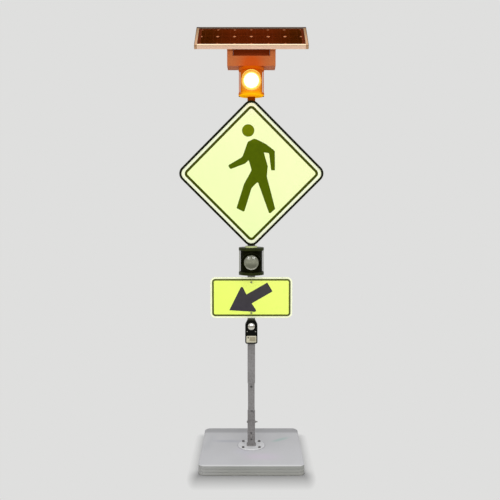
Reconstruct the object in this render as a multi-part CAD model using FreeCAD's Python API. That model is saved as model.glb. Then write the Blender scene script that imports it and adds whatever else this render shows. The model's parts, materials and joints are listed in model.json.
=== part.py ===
"""Portable solar pedestrian crossing sign: ballast slab, telescoping square mast, push-button station,
arrow plaque, diamond warning sign, two round beacons, power box and tilted solar panel.

Units are millimetres. +Z is up, the sign faces look along -Y, and the origin is the centre of the slab's
underside. Each function returns one piece, or a few pieces that share their sizes.
"""

import FreeCAD
import Part
import math
import os

# General clearances
FIT = 0.3                     # gap between pieces that slip over each other
BOLT_CLEAR = 0.2              # radial clearance of a bolt in its hole
FILM_T = 0.5                  # thickness of the retroreflective film
INK_T = 0.3                   # thickness of the cut overlay film of borders and figures
HEAD_CHAMFER_SHARE = 0.18     # crown chamfer of a hexagon head, as a share of the head's height

# Ballast slab
SLAB_W = 762.0
SLAB_D = 762.0
SLAB_T = 76.2
SLAB_CORNER_R = 44.0
SLAB_BEVEL = 10.0             # width of the sloped rim round the top
SLAB_BEVEL_DROP = 6.0
SLAB_GROOVE_DEPTH = 3.5       # depth and half width of the vee grooves in the side walls
SLAB_GROOVES = 2
SLAB_FOOT_CHAMFER = 3.0
NUT_POCKET_R = 17.0
NUT_POCKET_DEPTH = 20.0

# Floor flange and its bolts
FLANGE_R = 101.6
FLANGE_T = 6.35
FLANGE_EDGE = 2.0
FLANGE_BOLT_SPACING = 124.0
FLANGE_BOLT_D = 12.7
FLANGE_BOLT_AF = 19.05
FLANGE_BOLT_HEAD_H = 8.0
FLANGE_BOLT_TAIL = 3.0        # thread left past the nut
FLANGE_NUT_H = 10.8

# Telescoping mast
POST_SIZE = 57.15
POST_WALL = 2.1
POST_CORNER_R = 4.0
SOCKET_WALL = 2.7
SOCKET_L = 265.0
MAST_SIZE = 50.8
MAST_WALL = 2.1
MAST_L = 950.0
MAST_EXPOSED = 225.0          # bare inner mast between the socket and the upper post
WELD_LEG = 7.0
PERFORATION_R = 5.55
PERFORATION_PITCH = 25.4
PERFORATIONS = 3
PERFORATION_FIRST = 50.8      # lowest perforation, above the flange
CROSS_BOLT_RISE = 180.0        # cross bolt, above the flange
SPARE_HOLE_DROP = 28.0        # free hole in the mast, below the upper post
POST_BOLT_D = 9.5
POST_BOLT_AF = 14.3
POST_BOLT_HEAD_H = 6.2
POST_BOLT_L = 76.35
POST_NUT_H = 8.3

# Arrow plaque
PLAQUE_Z = 1232.0             # height of its centre
PLAQUE_W = 617.0
PLAQUE_H = 309.0
PLAQUE_CORNER_R = 38.0
PLAQUE_BOLT_SPACING = 234.0
PLAQUE_MARGIN = 12.0
PLAQUE_BORDER = 14.0
BLANK_T = 2.0                 # aluminium sheet of both signs
ARROW_SHAFT_W = 79.0
ARROW_L = 355.0
ARROW_HEAD_L = 178.0
ARROW_HEAD_W = 236.0
ARROW_BARB_R = 11.0
ARROW_TIP = (-167.0, -97.0)   # from the plaque's centre
ARROW_ANGLE = 30.0

# Diamond warning sign
SIGN_SIDE = 762.0
SIGN_CORNER_R = 47.6
SIGN_MARGIN = 21.0
SIGN_BORDER = 19.05
SIGN_BORDER_R = 34.0          # outer corners of the border
RIM_W = 16.0                  # black edge frame
RIM_D = 12.0
RIM_SLOT = 5.0                # how far the blank enters the frame
RAIL_L = 420.0                # hat rails across the back
RAIL_SPACING = 380.0
HAT_DEPTH = 10.0
HAT_CROWN = 26.0
HAT_LIP = 12.0
HAT_T = 2.0
STRAP_T = 3.0
EAR_L = 30.0
EAR_BOLT_X = 45.2

# Gaps between the units up the post: under and over the plaque, under and over the diamond
STATION_GAP = 8.0
LOWER_BEACON_GAP = 17.5
COLLAR_GAP = 7.0
UPPER_BEACON_GAP = 36.5

# Round beacon
BEACON_H = 206.0
DRUM_R = 82.5
DRUM_WALL = 4.0
CAP_R = 95.0
CAP_PLATE = 5.0
CAP_SKIRT = 23.0
CAP_EDGE = 2.5
LENS_RISE = 99.0              # lens centre above the beacon's underside
BOSS_R = 74.5
BOSS_REACH = 90.0             # boss face ahead of the post's axis
BOSS_FACE_T = 10.0
BOSS_WALL = 4.0
BEZEL_R = 72.5
BEZEL_T = 8.5
BEZEL_OPENING_R = 54.5
VISOR_WALL = 2.8
VISOR_REACH = 30.0
VISOR_SIDE_REACH = 9.0
VISOR_HALF_ANGLE = 98.0
LENS_FLANGE_R = 60.5
LENS_FLANGE_T = 3.0
LENS_DOME_H = 9.0
LENS_WALL = 2.5
GASKET_T = 1.5
GASKET_W = 5.0
REFLECTOR_DEPTH = 46.0
REFLECTOR_THROAT_R = 14.0
REFLECTOR_WALL = 1.6
REFLECTOR_BANDS = 6
BOARD_R = 22.0
BOARD_T = 2.0
EMITTER_R = 11.0
EMITTER_H = 8.0
LAMP_R = 8.0
LAMP_H = 1.5
TIE_ROD_D = 6.0
TIE_ROD_R = 89.0              # distance of a tie rod from the post's axis
TIE_ROD_AF = 10.0
TIE_ROD_HEAD_H = 4.0
TIE_ROD_ENTRY = 16.0          # thread in the upper cap
SCREW_D = 4.0
SCREW_HEAD_R = 3.5
SCREW_HEAD_H = 2.4
SCREW_L = 16.0
BEZEL_SCREWS = 4
COLLAR_R = 46.0
COLLAR_H = 10.0
COLLAR_EDGE = 2.0
COLLAR_SLIT = 3.0
COLLAR_SCREW_X = 36.0

# Push-button station
STATION_W = 92.0
STATION_H = 180.0
STATION_D = 55.0
STATION_TOP_W = 54.0
STATION_SHOULDER = 36.0       # height of the sloped shoulders
STATION_CORNER_R = 15.0
STATION_SHOULDER_R = 25.0
STATION_TOP_R = 5.0
STATION_EDGE_R = 4.0
STATION_WALL = 4.0
BACK_PLATE_T = 3.0
BUTTON_DROP = 48.0            # button centre below the station's top
BUTTON_R = 25.7
BUTTON_DOME_H = 8.0
BUTTON_RIM_H = 2.0
BUTTON_TRAVEL = 3.0
BUTTON_RECESS = 2.2
GUARD_RING_W = 6.5
GUARD_RING_H = 3.0
GUARD_RING_EDGE = 1.2
GUARD_GAP = 0.8
STEM_R = 6.0
STEM_FIT = 0.05               # running fit of the stem in its bush
BUSH_R = 12.0
BUSH_L = 12.0
SHOULDER_R = 9.5
SHOULDER_T = 2.5
PLUNGER_R = 3.0
PLUNGER_L = 19.5
SPRING_R = 6.5
SPRING_WIRE = 1.2
SPRING_TURNS = 4.0
SWITCH_W = 24.0
SWITCH_H = 30.0
JOINT_BOLT_RISE = 62.0        # bolt that pins the upper post, above the station's foot
STATION_SCREW_X = 31.0
STATION_SCREW_DROP = 86.0
COLUMN_R = 5.0
GUIDE_W = 74.0
GUIDE_H = 50.0
GUIDE_T = 1.2
GUIDE_R = 4.0
GUIDE_RISE = 36.0

# Power box on the post's top
BOX_W = 353.0
BOX_D = 157.0
BOX_H = 70.0
BOX_SHEET = 2.0
BOX_LIP = 18.0
BOX_EDGE_R = 3.0
LID_T = 2.0
SADDLE_SIZE = 116.0
SADDLE_T = 4.0
SADDLE_WALL = 3.0
SADDLE_SLEEVE_H = 42.0
SADDLE_BOLT_SPACING = 90.0
SADDLE_PIN_RISE = 20.0
POST_IN_BOX = 43.0            # post's end above the box floor
BATTERY_H = 50.0
CONTROLLER_D = 90.0
CONTROLLER_H = 26.0
BOX_CONTENT_GAP = 8.25        # round battery and controller, to the walls and the saddle's plate
BRACKET_BOLT_D = 8.0
BRACKET_BOLT_AF = 13.0
BRACKET_BOLT_HEAD_H = 5.3
BRACKET_BOLT_L = 12.0
CHEEK_W = 40.0
CHEEK_SHEET = 3.0
CHEEK_FRONT_H = 64.0
LID_BOLT_INSET = 12.0         # bolts of lid, cheeks and rear panel, from the box's front and rear
REAR_PANEL_FLANGE = 20.0
REAR_PANEL_GAP = 3.0          # under the solar panel's frame
REAR_PANEL_BOLT_X = 80.0

# Solar panel
TILT = 38.0
PANEL_OFFSET_Y = 6.5          # middle of the panel's underside, behind the post's axis
CELL = 121.0
CELL_CUT = 12.0
CELL_GAP = 2.5
CELL_COLUMNS = 6
CELL_ROWS = 2
CELL_MARGIN = 15.0            # pale border between the cells and the frame, front and rear
CELL_SIDE_MARGIN = 23.0       # the same border at the sides
FRAME_LIP = 20.0
FRAME_DEPTH = 30.0
FRAME_WALL = 2.0
FRAME_GROOVE = 1.0
FRAME_GROOVE_W = 2.0
GLASS_T = 3.2
CELL_T = 0.4
BACKSHEET_T = 1.4
LAMINATE_EDGE = 4.0           # laminate's edge inside the frame's outer face
SHELF_T = 1.5
SHELF_W = 9.0
JUNCTION_BOX = (110.0, 84.0, 22.0)
JUNCTION_BOX_EDGE = 2.5
JUNCTION_BOX_UP = 45.0

# Holes that the bolts pass through
FLANGE_HOLE_R = FLANGE_BOLT_D / 2 + BOLT_CLEAR
POST_HOLE_R = POST_BOLT_D / 2 + BOLT_CLEAR
BRACKET_HOLE_R = BRACKET_BOLT_D / 2 + BOLT_CLEAR
SCREW_HOLE_R = SCREW_D / 2 + BOLT_CLEAR
THREAD_R = SCREW_D / 2 + STEM_FIT

# Places up the post
FLANGE_TOP = SLAB_T + FLANGE_T
SOCKET_TOP = FLANGE_TOP + SOCKET_L
POST_BOTTOM = SOCKET_TOP + MAST_EXPOSED
POST_FACE = POST_SIZE / 2
STATION_TOP = PLAQUE_Z - PLAQUE_H / 2 - STATION_GAP
STATION_FOOT = STATION_TOP - STATION_H
LOWER_BEACON_Z = PLAQUE_Z + PLAQUE_H / 2 + LOWER_BEACON_GAP
RIM_SIDE = SIGN_SIDE + 2 * RIM_W
RIM_CORNER_R = SIGN_CORNER_R + RIM_W
RIM_REACH = RIM_SIDE / math.sqrt(2) - RIM_CORNER_R * (math.sqrt(2) - 1)
SIGN_Z = LOWER_BEACON_Z + BEACON_H + COLLAR_H + COLLAR_GAP + RIM_REACH
UPPER_BEACON_Z = SIGN_Z + RIM_REACH + UPPER_BEACON_GAP
BOX_Z = UPPER_BEACON_Z + BEACON_H
POST_TOP = BOX_Z + BOX_SHEET + POST_IN_BOX
LID_TOP = BOX_Z + BOX_H + LID_T
PANEL_W = CELL_COLUMNS * CELL + (CELL_COLUMNS - 1) * CELL_GAP + 2 * (CELL_SIDE_MARGIN + FRAME_LIP)
PANEL_D = CELL_ROWS * CELL + (CELL_ROWS - 1) * CELL_GAP + 2 * (CELL_MARGIN + FRAME_LIP)
PANEL_UNDERSIDE_Z = (LID_TOP + CHEEK_FRONT_H + CHEEK_SHEET / math.cos(math.radians(TILT))
                     + (PANEL_OFFSET_Y + BOX_D / 2) * math.tan(math.radians(TILT)))

# Faces of the signs, as distances ahead of the post's axis
PLAQUE_BACK = POST_FACE
SIGN_BACK = POST_FACE + HAT_DEPTH
STATION_BACK = POST_FACE + BACK_PLATE_T
STATION_FACE = STATION_BACK + STATION_D

X_AXIS = FreeCAD.Vector(1, 0, 0)
Y_AXIS = FreeCAD.Vector(0, 1, 0)
Z_AXIS = FreeCAD.Vector(0, 0, 1)
ORIGIN = FreeCAD.Vector(0, 0, 0)


def vec(x, y, z=0.0):
    return FreeCAD.Vector(x, y, z)


def block(x, y, z):
    """A box between pairs of limits along each axis."""
    corner = vec(x[0], y[0], z[0])
    return Part.makeBox(x[1] - x[0], y[1] - y[0], z[1] - z[0], corner)


def cylinder(radius, start, axis, length):
    return Part.makeCylinder(radius, length, start, axis)


def moved(shape, x=0.0, y=0.0, z=0.0):
    copy = shape.copy()
    copy.translate(vec(x, y, z))
    return copy


def turned(shape, axis, angle):
    copy = shape.copy()
    copy.rotate(ORIGIN, axis, angle)
    return copy


def mirrored(shape):
    """The same piece for the other side of the post."""
    return shape.mirror(ORIGIN, X_AXIS)


def fronted(shape, ahead, z):
    """A shape drawn face up, stood up to face the front, at a distance ahead of the axis and a height."""
    return moved(turned(shape, X_AXIS, 90), y=-ahead, z=z)


def rounded_polygon(corners):
    """A closed wire in the XY plane through corners (x, y, radius), each rounded by its own radius."""
    points = [vec(x, y) for x, y, _ in corners]
    entries = []
    exits = []
    edges = []
    for i, (here, corner) in enumerate(zip(points, corners)):
        radius = corner[2]
        back = (points[i - 1] - here).normalize()
        ahead = (points[(i + 1) % len(points)] - here).normalize()
        half = back.getAngle(ahead) / 2
        reach = radius / math.tan(half)
        entries.append(here + back * reach)
        exits.append(here + ahead * reach)
        if radius > 0:
            middle = here + (back + ahead).normalize() * (radius / math.sin(half) - radius)
            edges.append(Part.Arc(entries[-1], middle, exits[-1]).toShape())
    for i, leave in enumerate(exits):
        arrive = entries[(i + 1) % len(entries)]
        if leave.distanceToPoint(arrive) > 1e-6:
            edges.append(Part.LineSegment(leave, arrive).toShape())
    return Part.Wire(Part.__sortEdges__(edges))


def rectangle(width, height, radius):
    w = width / 2
    h = height / 2
    return rounded_polygon([(-w, -h, radius), (w, -h, radius), (w, h, radius), (-w, h, radius)])


def diamond(side, radius):
    reach = side / math.sqrt(2)
    corners = [(0, -reach), (reach, 0), (0, reach), (-reach, 0)]
    return rounded_polygon([(x, y, radius) for x, y in corners])


def prism(wire, z0, z1):
    """The wire's area, extruded from one height to another."""
    return moved(Part.Face(wire).extrude(vec(0, 0, z1 - z0)), z=z0)


def ring(outer, inner, z0, z1):
    """The area between two wires, extruded from one height to another."""
    return prism(outer, z0, z1).cut(prism(inner, z0 - 1, z1 + 1))


def frustum(lower, upper, z0, z1):
    """The straight-sided solid between two like outlines at two heights."""
    return Part.makeLoft([moved(lower, z=z0), moved(upper, z=z1)], True, True)


def revolved(points):
    """A full turn about Z of a closed profile, given as points in the XZ plane."""
    return Part.Face(Part.makePolygon(points + points[:1])).revolve(ORIGIN, Z_AXIS, 360)


def square_bar(size, radius, z0, z1):
    return prism(rectangle(size, size, radius), z0, z1)


def square_tube(size, wall, z0, z1):
    """A square tube with rounded corners, along Z."""
    inner_r = POST_CORNER_R - wall
    return square_bar(size, POST_CORNER_R, z0, z1).cut(square_bar(size - 2 * wall, inner_r, z0 - 1, z1 + 1))


def edges_at(shape, height):
    """The edges of a shape that lie flat at a height."""
    return [e for e in shape.Edges if e.BoundBox.ZMin > height - 0.01 and e.BoundBox.ZMax < height + 0.01]


def hexagon(across_flats, z0, z1):
    reach = across_flats / math.sqrt(3)
    corners = []
    for i in range(6):
        angle = math.radians(60 * i + 30)
        corners.append((reach * math.cos(angle), reach * math.sin(angle), 0))
    return prism(rounded_polygon(corners), z0, z1)


def hex_bolt(diameter, across_flats, head_h, length):
    """Head above z = 0 with its crown chamfered, shank below."""
    head = hexagon(across_flats, 0, head_h)
    head = head.makeChamfer(head_h * HEAD_CHAMFER_SHARE, edges_at(head, head_h))
    return head.fuse(cylinder(diameter / 2, ORIGIN, -Z_AXIS, length)).removeSplitter()


def hex_nut(diameter, across_flats, height):
    """A nut that fills z = 0 to its height, on a shank along Z."""
    bore = cylinder(diameter / 2 + STEM_FIT, vec(0, 0, -1), Z_AXIS, height + 2)
    return hexagon(across_flats, 0, height).cut(bore)


def cheese_screw(length):
    """Round flat head above z = 0, shank below."""
    head = cylinder(SCREW_HEAD_R, ORIGIN, Z_AXIS, SCREW_HEAD_H)
    return head.fuse(cylinder(SCREW_D / 2, ORIGIN, -Z_AXIS, length)).removeSplitter()


def square_pattern(spacing):
    """The four corners of a square pattern about the post."""
    s = spacing / 2
    return [(-s, -s), (s, -s), (s, s), (-s, s)]


def ballast_slab():
    """Moulded slab with a sloped rim, grooved sides and nut pockets underneath."""
    rim_z = SLAB_T - SLAB_BEVEL_DROP
    outline = rectangle(SLAB_W, SLAB_D, SLAB_CORNER_R)
    layer_h = rim_z / (SLAB_GROOVES + 1)
    slab = None
    for i in range(SLAB_GROOVES + 1):
        low = i * layer_h
        high = low + layer_h
        layer = prism(outline, low, SLAB_T if i == SLAB_GROOVES else high)
        layer = layer.makeChamfer(SLAB_GROOVE_DEPTH if i else SLAB_FOOT_CHAMFER, edges_at(layer, low))
        if i < SLAB_GROOVES:
            layer = layer.makeChamfer(SLAB_GROOVE_DEPTH, edges_at(layer, high))
        else:
            layer = layer.makeChamfer(SLAB_BEVEL_DROP, SLAB_BEVEL, edges_at(layer, SLAB_T))
        slab = slab.fuse(layer) if slab else layer
    for x, y in square_pattern(FLANGE_BOLT_SPACING):
        slab = slab.cut(cylinder(NUT_POCKET_R, vec(x, y, 0), Z_AXIS, NUT_POCKET_DEPTH))
        slab = slab.cut(cylinder(FLANGE_HOLE_R, vec(x, y, 0), Z_AXIS, SLAB_T))
    return slab.removeSplitter()


def floor_flange():
    plate = cylinder(FLANGE_R, vec(0, 0, SLAB_T), Z_AXIS, FLANGE_T)
    plate = plate.makeChamfer(FLANGE_EDGE, edges_at(plate, FLANGE_TOP))
    for x, y in square_pattern(FLANGE_BOLT_SPACING):
        plate = plate.cut(cylinder(FLANGE_HOLE_R, vec(x, y, SLAB_T), Z_AXIS, FLANGE_T))
    return plate


def flange_fasteners():
    """Bolts down through flange and slab, with their nuts in the slab's pockets."""
    grip = FLANGE_T + SLAB_T - NUT_POCKET_DEPTH
    length = grip + FLANGE_NUT_H + FLANGE_BOLT_TAIL
    bolt = hex_bolt(FLANGE_BOLT_D, FLANGE_BOLT_AF, FLANGE_BOLT_HEAD_H, length)
    nut = hex_nut(FLANGE_BOLT_D, FLANGE_BOLT_AF, FLANGE_NUT_H)
    places = square_pattern(FLANGE_BOLT_SPACING)
    bolts = [moved(bolt, x, y, FLANGE_TOP) for x, y in places]
    nuts = [moved(nut, x, y, NUT_POCKET_DEPTH - FLANGE_NUT_H) for x, y in places]
    return Part.makeCompound(bolts), Part.makeCompound(nuts)


def perforation_heights():
    return [FLANGE_TOP + PERFORATION_FIRST + i * PERFORATION_PITCH for i in range(PERFORATIONS)]


def drilled_along_y(tube, height, radius):
    return tube.cut(cylinder(radius, vec(0, -POST_SIZE, height), Y_AXIS, 2 * POST_SIZE))


def drilled_along_x(tube, height, radius):
    return tube.cut(cylinder(radius, vec(-POST_SIZE, 0, height), X_AXIS, 2 * POST_SIZE))


def post_bolt_places():
    """Bolts through the post: how far ahead the head seats, its height, and the axis it points along."""
    blank_face = PLAQUE_BACK + BLANK_T + FILM_T
    low = PLAQUE_Z - PLAQUE_BOLT_SPACING / 2
    high = PLAQUE_Z + PLAQUE_BOLT_SPACING / 2
    return {
        "socket": (POST_FACE, perforation_heights()[PERFORATIONS // 2], "y"),
        "side": (POST_FACE, FLANGE_TOP + CROSS_BOLT_RISE, "x"),
        "joint": (STATION_BACK, STATION_FOOT + JOINT_BOLT_RISE, "y"),
        "plaque_low": (blank_face, low, "y"),
        "plaque_high": (blank_face, high, "y"),
        "saddle": (saddle_half(), BOX_Z + BOX_SHEET + SADDLE_PIN_RISE, "x"),
    }


def saddle_half():
    return POST_FACE + FIT + SADDLE_WALL


def socket_tube():
    """Outer tube welded to the flange, with the weld's sloped bead round its foot."""
    tube = square_bar(POST_SIZE, POST_CORNER_R, FLANGE_TOP, SOCKET_TOP)
    bead_foot = rectangle(POST_SIZE + 2 * WELD_LEG, POST_SIZE + 2 * WELD_LEG, POST_CORNER_R + WELD_LEG)
    bead_top = rectangle(POST_SIZE, POST_SIZE, POST_CORNER_R)
    bead = frustum(bead_foot, bead_top, FLANGE_TOP, FLANGE_TOP + WELD_LEG)
    bore_size = POST_SIZE - 2 * SOCKET_WALL
    bore = square_bar(bore_size, POST_CORNER_R - SOCKET_WALL, FLANGE_TOP - 1, SOCKET_TOP + 1)
    tube = tube.fuse(bead).cut(bore)
    for height in perforation_heights():
        tube = drilled_along_y(tube, height, PERFORATION_R)
    tube = drilled_along_x(tube, FLANGE_TOP + CROSS_BOLT_RISE, POST_HOLE_R)
    return tube.removeSplitter()


def inner_mast():
    """Telescoping tube that stands in the socket and carries the upper post."""
    mast = square_tube(MAST_SIZE, MAST_WALL, FLANGE_TOP, FLANGE_TOP + MAST_L)
    for height in perforation_heights() + [POST_BOTTOM - SPARE_HOLE_DROP]:
        mast = drilled_along_y(mast, height, PERFORATION_R)
    mast = drilled_along_x(mast, FLANGE_TOP + CROSS_BOLT_RISE, POST_HOLE_R)
    return drilled_along_y(mast, post_bolt_places()["joint"][1], POST_HOLE_R)


def upper_post():
    post = square_tube(POST_SIZE, POST_WALL, POST_BOTTOM, POST_TOP)
    places = post_bolt_places()
    for name in ("joint", "plaque_low", "plaque_high"):
        post = drilled_along_y(post, places[name][1], POST_HOLE_R)
    return drilled_along_x(post, places["saddle"][1], POST_HOLE_R)


def post_fasteners():
    """The identical through bolts of the mast and their nuts on the far face."""
    bolt = hex_bolt(POST_BOLT_D, POST_BOLT_AF, POST_BOLT_HEAD_H, POST_BOLT_L)
    nut = hex_nut(POST_BOLT_D, POST_BOLT_AF, POST_NUT_H)
    bolts = []
    nuts = []
    for name, (seat, height, axis) in post_bolt_places().items():
        far = saddle_half() if name == "saddle" else POST_FACE
        if axis == "y":
            bolts.append(fronted(bolt, seat, height))
            nuts.append(moved(turned(nut, X_AXIS, -90), y=far, z=height))
        else:
            bolts.append(moved(turned(bolt, Y_AXIS, -90), x=-seat, z=height))
            nuts.append(moved(turned(nut, Y_AXIS, 90), x=far, z=height))
    return Part.makeCompound(bolts), Part.makeCompound(nuts)


def plaque():
    """Aluminium blank with film, dark border and arrow."""
    hole_r = POST_HOLE_R
    holes = [vec(0, s * PLAQUE_BOLT_SPACING / 2, -1) for s in (-1, 1)]
    outline = rectangle(PLAQUE_W, PLAQUE_H, PLAQUE_CORNER_R)
    blank = prism(outline, 0, BLANK_T)
    film = prism(outline, 0, FILM_T)
    for hole in holes:
        blank = blank.cut(cylinder(hole_r, hole, Z_AXIS, BLANK_T + 2))
        film = film.cut(cylinder(hole_r, hole, Z_AXIS, FILM_T + 2))
    line_out = rectangle(PLAQUE_W - 2 * PLAQUE_MARGIN, PLAQUE_H - 2 * PLAQUE_MARGIN,
                         PLAQUE_CORNER_R - PLAQUE_MARGIN)
    inset = PLAQUE_MARGIN + PLAQUE_BORDER
    line_in = rectangle(PLAQUE_W - 2 * inset, PLAQUE_H - 2 * inset, PLAQUE_CORNER_R - inset)
    face = PLAQUE_BACK + BLANK_T
    return {
        "plaque_blank": fronted(blank, PLAQUE_BACK, PLAQUE_Z),
        "plaque_sheeting": fronted(film, face, PLAQUE_Z),
        "plaque_border": fronted(ring(line_out, line_in, 0, INK_T), face + FILM_T, PLAQUE_Z),
        "plaque_arrow": fronted(arrow(), face + FILM_T, PLAQUE_Z),
    }


def arrow():
    """Down-left arrow: drawn pointing along -X from its tip, then turned and placed."""
    shaft = ARROW_SHAFT_W / 2
    barb = ARROW_HEAD_W / 2
    outline = rounded_polygon([
        (0, 0, 2), (ARROW_HEAD_L, -barb, ARROW_BARB_R), (ARROW_HEAD_L - 5, -shaft, 0), (ARROW_L, -shaft, 1),
        (ARROW_L, shaft, 1), (ARROW_HEAD_L - 5, shaft, 0), (ARROW_HEAD_L, barb, ARROW_BARB_R)])
    return moved(turned(prism(outline, 0, INK_T), Z_AXIS, ARROW_ANGLE), *ARROW_TIP)


def walking_figure():
    """The standard walking figure: a head disc and a body, drawn in thousandths of the sign's side."""
    scale = SIGN_SIDE / 1000
    head = cylinder(60 * scale, vec(-31 * scale, 415 * scale), Z_AXIS, INK_T)
    corners = [
        (24, 336, 21), (-35, 307, 29), (-87, 161, 52),
        (-228, 79, 13), (-205, 42, 16), (-60, 97, 26),
        (-26, 129, 3), (3, 33, 33), (-71, -101, 39),
        (-146, -337, 12), (-70, -374, 12), (3, -139, 34),
        (63, -79, 10), (176, -394, 12), (234, -345, 12),
        (151, -29, 52), (160, 71, 39), (122, 203, 3),
        (172, 198, 10), (193, 31, 8), (230, 31, 8),
        (228, 220, 29), (142, 285, 18), (50, 331, 26)]
    body = rounded_polygon([(x * scale, y * scale, radius * scale) for x, y, radius in corners])
    return Part.makeCompound([head, prism(body, 0, INK_T)])


def warning_sign():
    """Diamond blank with film, border and figure, held in a black edge frame."""
    film_side = SIGN_SIDE - 2 * FIT
    blank_side = SIGN_SIDE + 2 * RIM_SLOT
    blank = prism(diamond(blank_side, SIGN_CORNER_R + RIM_SLOT), 0, BLANK_T)
    film = prism(diamond(film_side, SIGN_CORNER_R - FIT), 0, FILM_T)
    inset = SIGN_MARGIN + SIGN_BORDER
    border = ring(diamond(SIGN_SIDE - 2 * SIGN_MARGIN, SIGN_BORDER_R),
                  diamond(SIGN_SIDE - 2 * inset, SIGN_BORDER_R - SIGN_BORDER), 0, INK_T)
    face = SIGN_BACK + BLANK_T
    return {
        "warning_sign_blank": fronted(blank, SIGN_BACK, SIGN_Z),
        "warning_sign_sheeting": fronted(film, face, SIGN_Z),
        "warning_sign_border": fronted(border, face + FILM_T, SIGN_Z),
        "walking_figure": fronted(walking_figure(), face + FILM_T, SIGN_Z),
        "warning_sign_rim": fronted(edge_frame(), SIGN_BACK, SIGN_Z),
    }


def edge_frame():
    """Extruded frame round the diamond, slotted for the blank's edge."""
    back = -(RIM_D - BLANK_T) / 2
    frame = ring(diamond(RIM_SIDE, RIM_CORNER_R), diamond(SIGN_SIDE, SIGN_CORNER_R), back, back + RIM_D)
    slot_side = SIGN_SIDE + 2 * RIM_SLOT
    return frame.cut(prism(diamond(slot_side, SIGN_CORNER_R + RIM_SLOT), 0, BLANK_T))


def sign_rails():
    """Two hat-section rails across the diamond's back, touching blank and post."""
    deep = HAT_DEPTH
    crown = HAT_CROWN / 2
    lip = crown + HAT_LIP
    section = [(0, lip), (0, crown - HAT_T), (deep - HAT_T, crown - HAT_T), (deep - HAT_T, -crown + HAT_T),
               (0, -crown + HAT_T), (0, -lip), (HAT_T, -lip), (HAT_T, -crown), (deep, -crown), (deep, crown),
               (HAT_T, crown), (HAT_T, lip)]
    points = [vec(-RAIL_L / 2, y - SIGN_BACK, z) for y, z in section]
    rail = Part.Face(Part.makePolygon(points + points[:1])).extrude(vec(RAIL_L, 0, 0))
    for x in (-EAR_BOLT_X, EAR_BOLT_X):
        start = vec(x, -POST_FACE - HAT_T - 1, 0)
        rail = rail.cut(cylinder(BRACKET_HOLE_R, start, Y_AXIS, HAT_T + 2))
    return [moved(rail, z=SIGN_Z + s * RAIL_SPACING / 2) for s in (-1, 1)]


def sign_straps():
    """The identical folded straps round the back of the post, bolted to the rails through their ears."""
    inside = POST_FACE + FIT
    outside = inside + STRAP_T
    reach = outside + EAR_L
    half = HAT_CROWN / 2
    strap = block((-outside, outside), (-POST_FACE, outside), (-half, half))
    strap = strap.cut(block((-inside, inside), (-POST_FACE - 1, inside), (-half - 1, half + 1)))
    rear_edges = [e for e in strap.Edges if e.BoundBox.YMin > outside - 0.1 and e.BoundBox.ZLength > half]
    fold_edges = [e for e in rear_edges if abs(e.Vertexes[0].X) > outside - 0.1]
    strap = strap.makeFillet(STRAP_T, fold_edges)
    for side in (-1, 1):
        limits = sorted((side * inside, side * reach))
        ear = block(limits, (-POST_FACE, -POST_FACE + STRAP_T), (-half, half))
        strap = strap.fuse(ear)
        start = vec(side * EAR_BOLT_X, -POST_FACE - 1, 0)
        strap = strap.cut(cylinder(BRACKET_HOLE_R, start, Y_AXIS, STRAP_T + 2))
    strap = strap.removeSplitter()
    return Part.makeCompound([moved(strap, z=SIGN_Z + s * RAIL_SPACING / 2) for s in (-1, 1)])


def beacon_drum():
    """Drum shell round the post, with a round boss for the optics; z = 0 is the beacon's underside."""
    height = BEACON_H - 2 * CAP_PLATE
    centre = vec(0, 0, LENS_RISE)
    shell = cylinder(DRUM_R, vec(0, 0, CAP_PLATE), Z_AXIS, height)
    shell = shell.fuse(cylinder(BOSS_R, centre, -Y_AXIS, BOSS_REACH))
    shell = shell.cut(cylinder(DRUM_R - DRUM_WALL, vec(0, 0, CAP_PLATE), Z_AXIS, height))
    shell = shell.cut(cylinder(BOSS_R - BOSS_WALL, centre, -Y_AXIS, BOSS_REACH - BOSS_FACE_T))
    shell = shell.cut(cylinder(gasket_inner_r(), centre, -Y_AXIS, BOSS_REACH + 1))
    for x, up in bezel_screw_places():
        hole = cylinder(THREAD_R, vec(x, -BOSS_REACH - 1, LENS_RISE + up), Y_AXIS, BOSS_FACE_T + 2)
        shell = shell.cut(hole)
    return shell.removeSplitter()


def gasket_inner_r():
    return LENS_FLANGE_R - GASKET_W


def bezel_screw_places():
    """Screws through the bezel's ring, halfway between the lens pocket and the visor's inner wall."""
    middle = (LENS_FLANGE_R + BEZEL_R - VISOR_WALL) / 2
    places = []
    for i in range(BEZEL_SCREWS):
        angle = 2 * math.pi * (i + 0.5) / BEZEL_SCREWS
        places.append((middle * math.cos(angle), middle * math.sin(angle)))
    return places


def beacon_cap(threaded, bolted):
    """Skirted end cap, plate down; the upper one is threaded for the tie rods and may take bracket bolts."""
    cap = cylinder(CAP_R, ORIGIN, Z_AXIS, CAP_SKIRT)
    cap = cap.makeChamfer(CAP_EDGE, edges_at(cap, 0) + edges_at(cap, CAP_SKIRT))
    cap = cap.cut(cylinder(DRUM_R + FIT, vec(0, 0, CAP_PLATE), Z_AXIS, CAP_SKIRT))
    cap = cap.cut(square_bar(POST_SIZE + 2 * FIT, POST_CORNER_R, -1, CAP_PLATE + 1))
    for side in (-1, 1):
        place = vec(side * TIE_ROD_R, 0, CAP_SKIRT + 1)
        if threaded:
            hole = cylinder(TIE_ROD_D / 2 + STEM_FIT, place, -Z_AXIS, TIE_ROD_ENTRY + 1)
        else:
            hole = cylinder(TIE_ROD_D / 2 + BOLT_CLEAR, place, -Z_AXIS, CAP_SKIRT + 2)
        cap = cap.cut(hole)
    if bolted:
        for x, y in square_pattern(SADDLE_BOLT_SPACING):
            cap = cap.cut(cylinder(BRACKET_HOLE_R, vec(x, y, -1), Z_AXIS, CAP_PLATE + 2))
    return cap


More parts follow.
